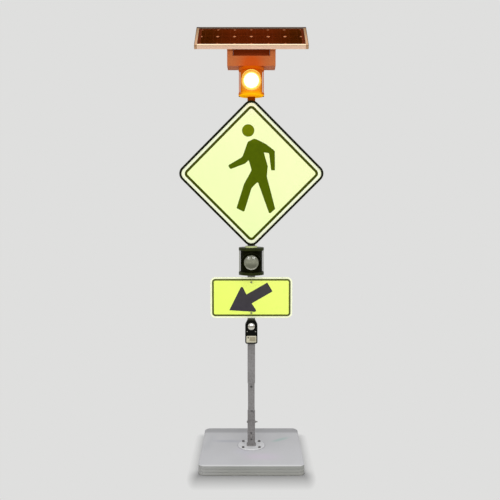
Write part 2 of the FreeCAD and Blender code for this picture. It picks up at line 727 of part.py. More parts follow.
def bezel():
    """Front ring with the lens pocket and a cut-away visor over its upper half."""
    pocket = LENS_FLANGE_R + FIT
    seat = GASKET_T + LENS_FLANGE_T
    opening = BEZEL_OPENING_R
    front = revolved([
        vec(pocket, 0, 0), vec(BEZEL_R, 0, 0), vec(BEZEL_R, 0, BEZEL_T), vec(opening + 2, 0, BEZEL_T),
        vec(opening, 0, BEZEL_T - 2), vec(opening, 0, seat), vec(pocket, 0, seat)])
    length = VISOR_REACH + 1
    visor = cylinder(BEZEL_R, vec(0, 0, BEZEL_T - 1), Z_AXIS, length)
    visor = visor.cut(cylinder(BEZEL_R - VISOR_WALL, vec(0, 0, BEZEL_T - 2), Z_AXIS, length + 2))
    half = math.radians(VISOR_HALF_ANGLE)
    side_y = BEZEL_R * math.cos(half)
    slope = math.atan2(VISOR_REACH - VISOR_SIDE_REACH, BEZEL_R - side_y)
    far = 4 * BEZEL_R
    keep = block((-far, far), (side_y, far), (-far, far))
    visor = visor.common(keep)
    cutter = moved(block((-far, far), (-far, far), (0, far)), z=0)
    cutter = moved(turned(cutter, X_AXIS, math.degrees(slope)), y=side_y, z=BEZEL_T + VISOR_SIDE_REACH)
    visor = visor.cut(cutter)
    body = front.fuse(visor).removeSplitter()
    for x, up in bezel_screw_places():
        body = body.cut(cylinder(SCREW_HOLE_R, vec(x, up, -1), Z_AXIS, BEZEL_T + 2))
    return body


def lens():
    """Clear domed lens with a flat flange."""
    back = GASKET_T
    shoulder = back + LENS_FLANGE_T
    crown = shoulder + LENS_DOME_H
    dome_r = BEZEL_OPENING_R - FIT
    inner_r = dome_r - LENS_WALL
    under = crown - LENS_WALL
    outer_middle = vec(*dome_point(dome_r, shoulder, crown))
    inner_middle = vec(*dome_point(inner_r, back, under))
    outer_arc = Part.Arc(vec(dome_r, 0, shoulder), outer_middle, vec(0, 0, crown))
    inner_arc = Part.Arc(vec(0, 0, under), inner_middle, vec(inner_r, 0, back))
    rim = [vec(inner_r, 0, back), vec(LENS_FLANGE_R, 0, back), vec(LENS_FLANGE_R, 0, shoulder),
           vec(dome_r, 0, shoulder)]
    edges = [outer_arc.toShape(), Part.makeLine(vec(0, 0, crown), vec(0, 0, under)), inner_arc.toShape()]
    edges += [Part.makeLine(a, b) for a, b in zip(rim, rim[1:])]
    return Part.Face(Part.Wire(edges)).revolve(ORIGIN, Z_AXIS, 360)


def dome_point(radius, low, high):
    """A point halfway round the circular arc of a dome, from its rim to its crown."""
    rise = high - low
    ball = (radius ** 2 + rise ** 2) / (2 * rise)
    half = math.asin(radius / ball) / 2
    return ball * math.sin(half), 0, high - ball + ball * math.cos(half)


def lens_gaskets():
    """The identical sealing rings behind both lenses."""
    gasket = cylinder(LENS_FLANGE_R, ORIGIN, Z_AXIS, GASKET_T)
    gasket = gasket.cut(cylinder(gasket_inner_r(), ORIGIN, Z_AXIS, GASKET_T))
    eyes = (LOWER_BEACON_Z + LENS_RISE, UPPER_BEACON_Z + LENS_RISE)
    return Part.makeCompound([fronted(gasket, BOSS_REACH, eye) for eye in eyes])


def reflector():
    """Bowl of conical bands along a parabola, behind the lens, with a flat rear flange for the board."""
    mouth_r = gasket_inner_r() - FIT
    throat_z = GASKET_T - REFLECTOR_DEPTH
    rear = throat_z - REFLECTOR_WALL
    outer = []
    for i in range(REFLECTOR_BANDS + 1):
        radius = REFLECTOR_THROAT_R + (mouth_r - REFLECTOR_THROAT_R) * i / REFLECTOR_BANDS
        rise = (radius ** 2 - REFLECTOR_THROAT_R ** 2) / (mouth_r ** 2 - REFLECTOR_THROAT_R ** 2)
        outer.append(vec(radius, 0, throat_z + REFLECTOR_DEPTH * rise))
    inner = [point - vec(REFLECTOR_WALL, 0) for point in reversed(outer)]
    flange = [vec(inner[-1].x, 0, rear), vec(BOARD_R, 0, rear), vec(BOARD_R, 0, throat_z)]
    return revolved(outer + inner + flange)


def led_board():
    """Round board behind the reflector, with its emitter block and lamp disc in the throat."""
    front = GASKET_T - REFLECTOR_DEPTH - REFLECTOR_WALL
    board = cylinder(BOARD_R, vec(0, 0, front - BOARD_T), Z_AXIS, BOARD_T)
    board = board.fuse(cylinder(EMITTER_R, vec(0, 0, front), Z_AXIS, EMITTER_H))
    board = board.fuse(cylinder(LAMP_R, vec(0, 0, front + EMITTER_H), Z_AXIS, LAMP_H))
    return board.removeSplitter()


def beacon(name, z, bolted):
    """All pieces of one beacon, named for its place, with its underside at a height."""
    ahead = BOSS_REACH
    eye = z + LENS_RISE
    upside_down = moved(turned(beacon_cap(True, bolted), X_AXIS, 180), z=BEACON_H)
    return {
        name + "_drum": moved(beacon_drum(), z=z),
        name + "_bottom_cap": moved(beacon_cap(False, False), z=z),
        name + "_top_cap": moved(upside_down, z=z),
        name + "_bezel": fronted(bezel(), ahead, eye),
        name + "_lens": fronted(lens(), ahead, eye),
        name + "_reflector": fronted(reflector(), ahead, eye),
        name + "_led_board": fronted(led_board(), ahead, eye),
    }


def tie_rods():
    """Long bolts that pull each beacon's caps together, heads underneath."""
    length = BEACON_H - CAP_SKIRT + TIE_ROD_ENTRY
    rod = turned(hex_bolt(TIE_ROD_D, TIE_ROD_AF, TIE_ROD_HEAD_H, length), X_AXIS, 180)
    rods = []
    for z in (LOWER_BEACON_Z, UPPER_BEACON_Z):
        rods += [moved(rod, x=side * TIE_ROD_R, z=z) for side in (-1, 1)]
    return Part.makeCompound(rods)


def post_collar():
    """Split collar on the lower beacon's top cap, which holds it up on the post."""
    collar = cylinder(COLLAR_R, ORIGIN, Z_AXIS, COLLAR_H)
    collar = collar.makeChamfer(COLLAR_EDGE, edges_at(collar, COLLAR_H))
    collar = collar.cut(square_bar(POST_SIZE + 2 * STEM_FIT, POST_CORNER_R, -1, COLLAR_H + 1))
    half = COLLAR_SLIT / 2
    collar = collar.cut(block((-half, half), (0, COLLAR_R + 1), (-1, COLLAR_H + 1)))
    for side in (-1, 1):
        place = vec(side * COLLAR_SCREW_X, 0, -1)
        collar = collar.cut(cylinder(SCREW_HOLE_R, place, Z_AXIS, COLLAR_H + 2))
    return moved(collar, z=LOWER_BEACON_Z + BEACON_H)


def collar_screw_holes(cap):
    """The lower beacon's top cap, drilled for the collar's screws."""
    for side in (-1, 1):
        place = vec(side * COLLAR_SCREW_X, 0, LOWER_BEACON_Z + BEACON_H + 1)
        cap = cap.cut(cylinder(THREAD_R, place, -Z_AXIS, CAP_PLATE + 2))
    return cap


def small_screws():
    """The identical round-head screws of both bezels and of the collar."""
    screw = cheese_screw(SCREW_L)
    screws = []
    for z in (LOWER_BEACON_Z, UPPER_BEACON_Z):
        for x, up in bezel_screw_places():
            screws.append(moved(fronted(screw, BOSS_REACH + BEZEL_T, z + LENS_RISE + up), x=x))
    top = LOWER_BEACON_Z + BEACON_H + COLLAR_H
    screws += [moved(screw, x=side * COLLAR_SCREW_X, z=top) for side in (-1, 1)]
    return Part.makeCompound(screws)


def station_outline(inset):
    """Front outline of the button station about its foot's middle, moved in by a wall."""
    w = STATION_W / 2 - inset
    t = STATION_TOP_W / 2 - inset
    top = STATION_H - inset
    shoulder = STATION_H - STATION_SHOULDER - inset / 2
    corner = STATION_CORNER_R - inset
    shoulder_r = STATION_SHOULDER_R - inset
    top_r = STATION_TOP_R - inset
    return rounded_polygon([
        (-w, inset, corner), (w, inset, corner), (w, shoulder, shoulder_r), (t, top, top_r),
        (-t, top, top_r), (-w, shoulder, shoulder_r)])


def button_centre_up():
    return STATION_H - BUTTON_DROP


def station_screw_up():
    return STATION_H - STATION_SCREW_DROP


def button_housing():
    """Cast shell with a guard ring, the button's bush and two screw columns, open at the back."""
    up = button_centre_up()
    centre = vec(0, up, 0)
    face = STATION_D
    shell = prism(station_outline(0), 0, face)
    shell = shell.makeFillet(STATION_EDGE_R, edges_at(shell, face))
    shell = shell.cut(prism(station_outline(STATION_WALL), -1, face - STATION_WALL))
    recess_r = BUTTON_R + GUARD_GAP
    guard = cylinder(recess_r + GUARD_RING_W, centre + vec(0, 0, face - 1), Z_AXIS, GUARD_RING_H + 1)
    guard = guard.makeChamfer(GUARD_RING_EDGE, edges_at(guard, face + GUARD_RING_H))
    bush_top = face - BUTTON_RECESS
    shell = shell.fuse(guard)
    shell = shell.fuse(cylinder(BUSH_R, centre + vec(0, 0, bush_top - BUSH_L), Z_AXIS, BUSH_L))
    for side in (-1, 1):
        foot = vec(side * STATION_SCREW_X, station_screw_up(), 0)
        shell = shell.fuse(cylinder(COLUMN_R, foot, Z_AXIS, face - 1))
    shell = shell.cut(cylinder(recess_r, centre + vec(0, 0, bush_top), Z_AXIS, STATION_D))
    shell = shell.cut(cylinder(STEM_R + STEM_FIT, centre, Z_AXIS, 2 * STATION_D))
    for side in (-1, 1):
        foot = vec(side * STATION_SCREW_X, station_screw_up(), -1)
        shell = shell.cut(cylinder(SCREW_HOLE_R, foot, Z_AXIS, STATION_D + 2))
    return fronted(shell.removeSplitter(), STATION_BACK, STATION_FOOT)


def button_back_plate():
    plate = prism(station_outline(0), 0, BACK_PLATE_T)
    bolt_hole = cylinder(POST_HOLE_R, vec(0, JOINT_BOLT_RISE, -1), Z_AXIS, BACK_PLATE_T + 2)
    plate = plate.cut(bolt_hole)
    for side in (-1, 1):
        foot = vec(side * STATION_SCREW_X, station_screw_up(), -1)
        plate = plate.cut(cylinder(THREAD_R, foot, Z_AXIS, BACK_PLATE_T + 2))
    return fronted(plate, POST_FACE, STATION_FOOT)


def shoulder_back():
    """How far behind the station's face the button's retaining shoulder ends, at rest."""
    return BUTTON_RECESS + BUSH_L + FIT + SHOULDER_T


def push_button():
    """Domed button with its stem, retaining shoulder and plunger; z = 0 is the station's face."""
    under = BUTTON_TRAVEL + FIT - BUTTON_RECESS
    rim_top = under + BUTTON_RIM_H
    crown = rim_top + BUTTON_DOME_H
    arc = Part.Arc(vec(BUTTON_R, 0, rim_top), vec(*dome_point(BUTTON_R, rim_top, crown)), vec(0, 0, crown))
    bush_end = -BUTTON_RECESS - BUSH_L - FIT
    tail = -shoulder_back()
    points = [
        vec(0, 0, crown), vec(0, 0, tail - PLUNGER_L), vec(PLUNGER_R, 0, tail - PLUNGER_L),
        vec(PLUNGER_R, 0, tail), vec(SHOULDER_R, 0, tail), vec(SHOULDER_R, 0, bush_end),
        vec(STEM_R, 0, bush_end), vec(STEM_R, 0, under), vec(BUTTON_R, 0, under), vec(BUTTON_R, 0, rim_top)]
    edges = [Part.makeLine(a, b) for a, b in zip(points, points[1:])]
    button = Part.Face(Part.Wire(edges + [arc.toShape()])).revolve(ORIGIN, Z_AXIS, 360)
    return fronted(button, STATION_FACE, STATION_FOOT + button_centre_up())


def switch_front():
    """How far behind the station's face the switch begins: past the plunger's full travel."""
    return shoulder_back() + PLUNGER_L + BUTTON_TRAVEL + FIT


def button_switch():
    """Switch block between the plunger and the back plate."""
    depth = STATION_D - switch_front()
    switch = prism(rectangle(SWITCH_W, SWITCH_H, 2), 0, depth)
    return fronted(switch, STATION_BACK, STATION_FOOT + button_centre_up())


def button_spring():
    """Coil of square wire round the plunger, from the switch to the button's shoulder."""
    length = switch_front() - shoulder_back() - SPRING_WIRE - 2 * STEM_FIT
    helix = Part.makeHelix(length / SPRING_TURNS, length, SPRING_R)
    half = SPRING_WIRE / 2
    corners = [vec(SPRING_R + x * half, 0, z * half) for x, z in ((-1, -1), (1, -1), (1, 1), (-1, 1))]
    section = Part.makePolygon(corners + corners[:1])
    coil = Part.Wire(helix).makePipeShell([section], True, True)
    coil = moved(coil, z=half + STEM_FIT - switch_front())
    return fronted(coil, STATION_FACE, STATION_FOOT + button_centre_up())


def station_screws():
    """Long screws through the housing's columns into the back plate."""
    screw = cheese_screw(STATION_D + BACK_PLATE_T)
    height = STATION_FOOT + station_screw_up()
    seated = fronted(screw, STATION_FACE, height)
    return Part.makeCompound([moved(seated, x=side * STATION_SCREW_X) for side in (-1, 1)])


def guide_plate():
    plate = prism(rectangle(GUIDE_W, GUIDE_H, GUIDE_R), 0, GUIDE_T)
    return fronted(plate, STATION_FACE, STATION_FOOT + GUIDE_RISE)


def power_box():
    """Folded tray with an inward lip round its open top, bored for the post and the saddle's bolts."""
    tray = prism(rectangle(BOX_W, BOX_D, BOX_EDGE_R), 0, BOX_H)
    hollow = rectangle(BOX_W - 2 * BOX_SHEET, BOX_D - 2 * BOX_SHEET, BOX_EDGE_R - BOX_SHEET)
    tray = tray.cut(prism(hollow, BOX_SHEET, BOX_H - BOX_SHEET))
    mouth = rectangle(BOX_W - 2 * BOX_LIP, BOX_D - 2 * BOX_LIP, BOX_EDGE_R)
    tray = tray.cut(prism(mouth, BOX_H / 2, BOX_H + 1))
    tray = tray.cut(square_bar(POST_SIZE + 2 * FIT, POST_CORNER_R, -1, BOX_SHEET + 1))
    for x, y in square_pattern(SADDLE_BOLT_SPACING):
        tray = tray.cut(cylinder(BRACKET_HOLE_R, vec(x, y, -1), Z_AXIS, BOX_SHEET + 2))
    for x, y in cheek_floor_bolts() + rear_panel_bolts():
        tray = tray.cut(cylinder(BRACKET_HOLE_R, vec(x, y, BOX_H - BOX_LIP), Z_AXIS, BOX_LIP + 1))
    return moved(tray, z=BOX_Z)


def cheek_middle_x():
    return (BOX_W - CHEEK_W) / 2


def cheek_floor_bolts():
    y = BOX_D / 2 - LID_BOLT_INSET
    return [(sx * cheek_middle_x(), sy * y) for sx in (-1, 1) for sy in (-1, 1)]


def rear_panel_bolts():
    return [(side * REAR_PANEL_BOLT_X, BOX_D / 2 - LID_BOLT_INSET) for side in (-1, 1)]


def box_lid():
    lid = prism(rectangle(BOX_W, BOX_D, BOX_EDGE_R), 0, LID_T)
    for x, y in cheek_floor_bolts() + rear_panel_bolts():
        lid = lid.cut(cylinder(BRACKET_HOLE_R, vec(x, y, -1), Z_AXIS, LID_T + 2))
    return moved(lid, z=BOX_Z + BOX_H)


def post_saddle():
    """Plate and sleeve in the box that pin it to the post's end."""
    outer = 2 * saddle_half()
    saddle = prism(rectangle(SADDLE_SIZE, SADDLE_SIZE, 6), 0, SADDLE_T)
    saddle = saddle.fuse(square_bar(outer, POST_CORNER_R + SADDLE_WALL, 0, SADDLE_SLEEVE_H))
    saddle = saddle.cut(square_bar(POST_SIZE + 2 * FIT, POST_CORNER_R, -1, SADDLE_SLEEVE_H + 1))
    for x, y in square_pattern(SADDLE_BOLT_SPACING):
        saddle = saddle.cut(cylinder(BRACKET_HOLE_R, vec(x, y, -1), Z_AXIS, SADDLE_T + 2))
    saddle = drilled_along_x(saddle, SADDLE_PIN_RISE, POST_HOLE_R)
    return moved(saddle.removeSplitter(), z=BOX_Z + BOX_SHEET)


def box_bay():
    """Middle and length of the room beside the saddle's plate, less its clearances."""
    inner = SADDLE_SIZE / 2 + BOX_CONTENT_GAP
    outer = BOX_W / 2 - BOX_SHEET - BOX_CONTENT_GAP
    return (inner + outer) / 2, outer - inner


def battery_pack():
    middle, length = box_bay()
    depth = BOX_D - 2 * (BOX_SHEET + BOX_CONTENT_GAP)
    pack = prism(rectangle(length, depth, 4), 0, BATTERY_H)
    return moved(pack, x=-middle, z=BOX_Z + BOX_SHEET)


def charge_controller():
    middle, length = box_bay()
    case = prism(rectangle(length, CONTROLLER_D, 5), 0, CONTROLLER_H)
    return moved(case, x=middle, z=BOX_Z + BOX_SHEET)


def on_panel(shape):
    """A shape drawn on the panel, z = 0 its top face and y up the slope, moved to its tilted place."""
    lifted = moved(shape, z=FRAME_DEPTH)
    return moved(turned(lifted, X_AXIS, TILT), y=PANEL_OFFSET_Y, z=PANEL_UNDERSIDE_Z)


def right_cheek():
    """Folded wedge with a long sloped flange under the panel's frame, open at the rear."""
    slope = math.tan(math.radians(TILT))
    drop = CHEEK_SHEET / math.cos(math.radians(TILT))
    front = -BOX_D / 2
    rear = BOX_D / 2
    sheet = CHEEK_SHEET

    def top(y):
        return LID_TOP + CHEEK_FRONT_H + (y - front) * slope

    def wedge(x0, x1, y0, y1, floor, lower):
        points = [vec(x0, y0, floor), vec(x0, y1, floor), vec(x0, y1, top(y1) - lower),
                  vec(x0, y0, top(y0) - lower)]
        return Part.Face(Part.makePolygon(points + points[:1])).extrude(vec(x1 - x0, 0, 0))

    x0 = BOX_W / 2 - CHEEK_W
    x1 = BOX_W / 2
    cheek = wedge(x0, x1, front, rear, LID_TOP, 0)
    flange = block((x0, x1), (-PANEL_D / 2, PANEL_D / 2), (-FRAME_DEPTH - sheet, -FRAME_DEPTH))
    cheek = cheek.fuse(on_panel(flange))
    cheek = cheek.cut(wedge(x0 + sheet, x1 - sheet, front + sheet, rear + 1, LID_TOP + sheet, 0))
    for x, y in cheek_floor_bolts():
        cheek = cheek.cut(cylinder(BRACKET_HOLE_R, vec(x, y, LID_TOP - 1), Z_AXIS, sheet + 2))
    for x, up in frame_bolts():
        hole = cylinder(BRACKET_HOLE_R, vec(x, up, -FRAME_DEPTH - drop - 1), Z_AXIS, drop + 2)
        cheek = cheek.cut(on_panel(hole))
    return cheek.removeSplitter()


def rear_panel():
    """Folded sheet that closes the housing between the cheeks, under the solar panel's rear half."""
    half = BOX_W / 2 - CHEEK_W - FIT
    rear = BOX_D / 2
    sheet = BOX_SHEET
    front = rear - REAR_PANEL_FLANGE
    top = PANEL_UNDERSIDE_Z + (front - PANEL_OFFSET_Y) * math.tan(math.radians(TILT)) - REAR_PANEL_GAP
    panel = block((-half, half), (rear - sheet, rear), (LID_TOP, top))
    panel = panel.fuse(block((-half, half), (front, rear), (LID_TOP, LID_TOP + sheet)))
    panel = panel.fuse(block((-half, half), (front, rear), (top - sheet, top)))
    for x, y in rear_panel_bolts():
        panel = panel.cut(cylinder(BRACKET_HOLE_R, vec(x, y, LID_TOP - 1), Z_AXIS, sheet + 2))
    return panel.removeSplitter()


def frame_bolts():
    """Bolts through the cheeks' flanges into the frame's lower lip, about the panel's middle."""
    up = (PANEL_D - FRAME_LIP) / 2
    return [(sx * cheek_middle_x(), sy * up) for sx in (-1, 1) for sy in (-1, 1)]


def bracket_bolts():
    """The identical bolts of the saddle, the cheeks, the rear panel and the sign's straps."""
    bolt = hex_bolt(BRACKET_BOLT_D, BRACKET_BOLT_AF, BRACKET_BOLT_HEAD_H, BRACKET_BOLT_L)
    saddle_top = BOX_Z + BOX_SHEET + SADDLE_T
    bolts = [moved(bolt, x, y, saddle_top) for x, y in square_pattern(SADDLE_BOLT_SPACING)]
    bolts += [moved(bolt, x, y, LID_TOP + CHEEK_SHEET) for x, y in cheek_floor_bolts()]
    bolts += [moved(bolt, x, y, LID_TOP + BOX_SHEET) for x, y in rear_panel_bolts()]
    upward = turned(bolt, X_AXIS, 180)
    bolts += [on_panel(moved(upward, x, up, -FRAME_DEPTH - CHEEK_SHEET)) for x, up in frame_bolts()]
    backward = turned(bolt, X_AXIS, -90)
    for s in (-1, 1):
        for x in (-EAR_BOLT_X, EAR_BOLT_X):
            bolts.append(moved(backward, x, STRAP_T - POST_FACE, SIGN_Z + s * RAIL_SPACING / 2))
    return Part.makeCompound(bolts)


def panel_frame():
    """Four mitred lengths of one extrusion, drawn as a ring and cut at the corners."""
    w = PANEL_W
    d = PANEL_D

    def sheet(inset, z0, z1):
        return block((inset - w / 2, w / 2 - inset), (inset - d / 2, d / 2 - inset), (z0, z1))

    laminate_low = -FRAME_WALL - GLASS_T - CELL_T - BACKSHEET_T
    shelf_low = laminate_low - SHELF_T
    whole = sheet(0, -FRAME_DEPTH, 0)
    whole = whole.cut(sheet(FRAME_LIP, -FRAME_DEPTH - 1, 1))
    whole = whole.cut(sheet(FRAME_WALL, laminate_low, -FRAME_WALL))
    whole = whole.cut(sheet(FRAME_WALL, FRAME_WALL - FRAME_DEPTH, shelf_low))
    whole = whole.cut(sheet(SHELF_W, shelf_low - 1, laminate_low + 1))
    groove_z = -FRAME_DEPTH * 0.42
    groove_foot = groove_z - FRAME_GROOVE_W
    groove = sheet(-1, groove_foot, groove_z).cut(sheet(FRAME_GROOVE, groove_foot, groove_z))
    whole = whole.cut(groove)
    for x, up in frame_bolts():
        place = vec(x, up, -FRAME_DEPTH - 1)
        whole = whole.cut(cylinder(BRACKET_HOLE_R, place, Z_AXIS, FRAME_WALL + 2))
    corners = [vec(-w / 2, -d / 2), vec(w / 2, -d / 2), vec(w / 2, d / 2), vec(-w / 2, d / 2)]
    inner = [vec(-w / 2 + d / 2, 0), vec(w / 2 - d / 2, 0)]
    sides = [
        [corners[0], corners[1], inner[1], inner[0]],
        [corners[1], corners[2], inner[1]],
        [corners[2], corners[3], inner[0], inner[1]],
        [corners[3], corners[0], inner[0]],
    ]
    rails = []
    for side in sides:
        area = Part.Face(Part.makePolygon(side + side[:1])).extrude(vec(0, 0, FRAME_DEPTH + 2))
        rails.append(on_panel(whole.common(moved(area, z=-FRAME_DEPTH - 1))))
    return Part.makeCompound(rails)


def solar_laminate():
    """Glass, cells and backsheet, stacked under the frame's top lip."""
    w = PANEL_W - 2 * LAMINATE_EDGE
    d = PANEL_D - 2 * LAMINATE_EDGE
    glass_low = -FRAME_WALL - GLASS_T
    cell_low = glass_low - CELL_T
    half = CELL / 2
    cut = half - CELL_CUT
    corners = [
        (half, -cut), (half, cut), (cut, half), (-cut, half),
        (-half, cut), (-half, -cut), (-cut, -half), (cut, -half)]
    cell = prism(rounded_polygon([(x, y, 0) for x, y in corners]), cell_low, glass_low)
    pitch = CELL + CELL_GAP
    cells = []
    for column in range(CELL_COLUMNS):
        for row in range(CELL_ROWS):
            x = (column - (CELL_COLUMNS - 1) / 2) * pitch
            y = (row - (CELL_ROWS - 1) / 2) * pitch
            cells.append(on_panel(moved(cell, x, y)))
    glass = block((-w / 2, w / 2), (-d / 2, d / 2), (glass_low, -FRAME_WALL))
    backsheet = block((-w / 2, w / 2), (-d / 2, d / 2), (cell_low - BACKSHEET_T, cell_low))
    return {
        "solar_glass": on_panel(glass),
        "solar_cells": Part.makeCompound(cells),
        "panel_backsheet": on_panel(backsheet),
    }


def junction_box():
    width, depth, height = JUNCTION_BOX
    top = -FRAME_WALL - GLASS_T - CELL_T - BACKSHEET_T
    case = prism(rectangle(width, depth, 6), top - height, top)
    case = case.makeChamfer(JUNCTION_BOX_EDGE, edges_at(case, top - height))
    return on_panel(moved(case, y=JUNCTION_BOX_UP))


def all_nodes():
    nodes = {
        "ballast_slab": ballast_slab(),
        "floor_flange": floor_flange(),
        "socket_tube": socket_tube(),
        "inner_mast": inner_mast(),
        "upper_post": upper_post(),
        "post_collar": post_collar(),
        "small_screws": small_screws(),
        "tie_rods": tie_rods(),
        "button_housing": button_housing(),
        "button_back_plate": button_back_plate(),
        "push_button": push_button(),
        "button_spring": button_spring(),
        "button_switch": button_switch(),
        "station_screws": station_screws(),
        "guide_plate": guide_plate(),
        "power_box": power_box(),
        "box_lid": box_lid(),
        "post_saddle": post_saddle(),
        "battery_pack": battery_pack(),
        "charge_controller": charge_controller(),
        "right_cheek": right_cheek(),
        "left_cheek": mirrored(right_cheek()),
        "bracket_bolts": bracket_bolts(),
        "panel_frame": panel_frame(),
        "junction_box": junction_box(),
        "lens_gaskets": lens_gaskets(),
        "sign_straps": sign_straps(),
        "rear_panel": rear_panel(),
    }
    nodes["flange_bolts"], nodes["flange_nuts"] = flange_fasteners()
    nodes["post_bolts"], nodes["post_nuts"] = post_fasteners()
    nodes["lower_sign_rail"], nodes["upper_sign_rail"] = sign_rails()
    nodes.update(plaque())
    nodes.update(warning_sign())
    nodes.update(beacon("lower_beacon", LOWER_BEACON_Z, bolted=False))
    nodes.update(beacon("upper_beacon", UPPER_BEACON_Z, bolted=True))
    nodes["lower_beacon_top_cap"] = collar_screw_holes(nodes["lower_beacon_top_cap"])
    nodes.update(solar_laminate())
    return nodes


def main():
    os.makedirs("parts", exist_ok=True)
    for name, shape in sorted(all_nodes().items()):
        shape.exportStep(os.path.join("parts", name + ".step"))
        size = shape.BoundBox
        print(f"{name}: {len(shape.Solids)} solids, valid {shape.isValid()}, {size.XLength:.1f} x "
              f"{size.YLength:.1f} x {size.ZLength:.1f}, volume {shape.Volume / 1000:.1f} cm3")


main()
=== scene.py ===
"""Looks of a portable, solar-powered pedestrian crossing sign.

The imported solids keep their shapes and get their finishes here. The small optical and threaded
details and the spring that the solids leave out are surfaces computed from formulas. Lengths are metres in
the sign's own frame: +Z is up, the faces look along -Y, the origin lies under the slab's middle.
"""

import json
import logging
import math
from collections.abc import Callable
from dataclasses import dataclass
from enum import Enum

import bmesh
import bpy
import numpy as np
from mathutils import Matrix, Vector

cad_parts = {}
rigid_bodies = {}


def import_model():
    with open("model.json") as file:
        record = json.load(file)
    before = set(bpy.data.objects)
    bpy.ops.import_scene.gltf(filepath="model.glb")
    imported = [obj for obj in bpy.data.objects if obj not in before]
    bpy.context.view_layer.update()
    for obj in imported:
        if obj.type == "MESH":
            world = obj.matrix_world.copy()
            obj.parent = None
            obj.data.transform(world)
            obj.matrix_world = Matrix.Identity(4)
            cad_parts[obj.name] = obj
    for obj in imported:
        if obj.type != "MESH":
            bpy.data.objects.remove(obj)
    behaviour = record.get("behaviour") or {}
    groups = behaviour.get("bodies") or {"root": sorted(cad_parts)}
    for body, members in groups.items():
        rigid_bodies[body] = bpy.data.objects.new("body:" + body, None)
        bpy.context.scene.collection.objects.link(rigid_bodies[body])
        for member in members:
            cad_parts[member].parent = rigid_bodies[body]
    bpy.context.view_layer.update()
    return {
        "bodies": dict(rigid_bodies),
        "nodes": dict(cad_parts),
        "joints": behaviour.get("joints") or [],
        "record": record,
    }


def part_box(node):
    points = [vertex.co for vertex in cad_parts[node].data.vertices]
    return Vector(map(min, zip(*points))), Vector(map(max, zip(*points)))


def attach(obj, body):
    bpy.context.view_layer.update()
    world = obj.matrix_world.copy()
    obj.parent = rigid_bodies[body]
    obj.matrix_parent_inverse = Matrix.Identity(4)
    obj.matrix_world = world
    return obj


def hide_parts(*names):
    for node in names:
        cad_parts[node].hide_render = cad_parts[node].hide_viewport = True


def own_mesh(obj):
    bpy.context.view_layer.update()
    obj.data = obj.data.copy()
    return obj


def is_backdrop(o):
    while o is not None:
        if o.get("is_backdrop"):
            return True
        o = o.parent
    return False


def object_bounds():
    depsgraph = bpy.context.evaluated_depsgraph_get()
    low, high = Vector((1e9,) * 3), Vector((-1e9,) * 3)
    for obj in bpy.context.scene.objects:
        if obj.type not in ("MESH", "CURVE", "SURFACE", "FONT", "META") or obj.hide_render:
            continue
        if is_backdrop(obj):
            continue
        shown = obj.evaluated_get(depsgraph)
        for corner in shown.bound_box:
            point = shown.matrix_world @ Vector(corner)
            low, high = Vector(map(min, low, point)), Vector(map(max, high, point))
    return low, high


log = logging.getLogger("crossing_sign")

FIXED_BODY = "sign"
FORWARD = (0.0, -1.0, 0.0)

LENS_R = 0.0545
OPTIC_PITCH = 0.0062
LAMP_REACH = 0.088
FILM_CELL_PITCH = 0.0042

Rgb = tuple[int, int, int]
Spot = tuple[float, float]
Place = tuple[float, float, float]
Node = bpy.types.Node
Socket = bpy.types.NodeSocket
Value = Socket | float | tuple


class Outline(Enum):
    """The outline of a sign face, as the turn that lays its sides along the axes."""

    RECTANGLE = 0.0
    DIAMOND = 45.0


def linear(rgb: Rgb) -> tuple[float, float, float, float]:
    """Turns a display colour into the linear colour that a shader takes.

    Formula: c / 12.92 below 0.04045, and ((c + 0.055) / 1.055) to the power 2.4 above it.

    Args:
        rgb: red, green and blue from 0 to 255.

    Returns:
        Linear red, green and blue, and an alpha of 1.
    """
    shares = np.array(rgb, float) / 255.0
    values = np.where(shares <= 0.04045, shares / 12.92, ((shares + 0.055) / 1.055) ** 2.4)
    return (float(values[0]), float(values[1]), float(values[2]), 1.0)


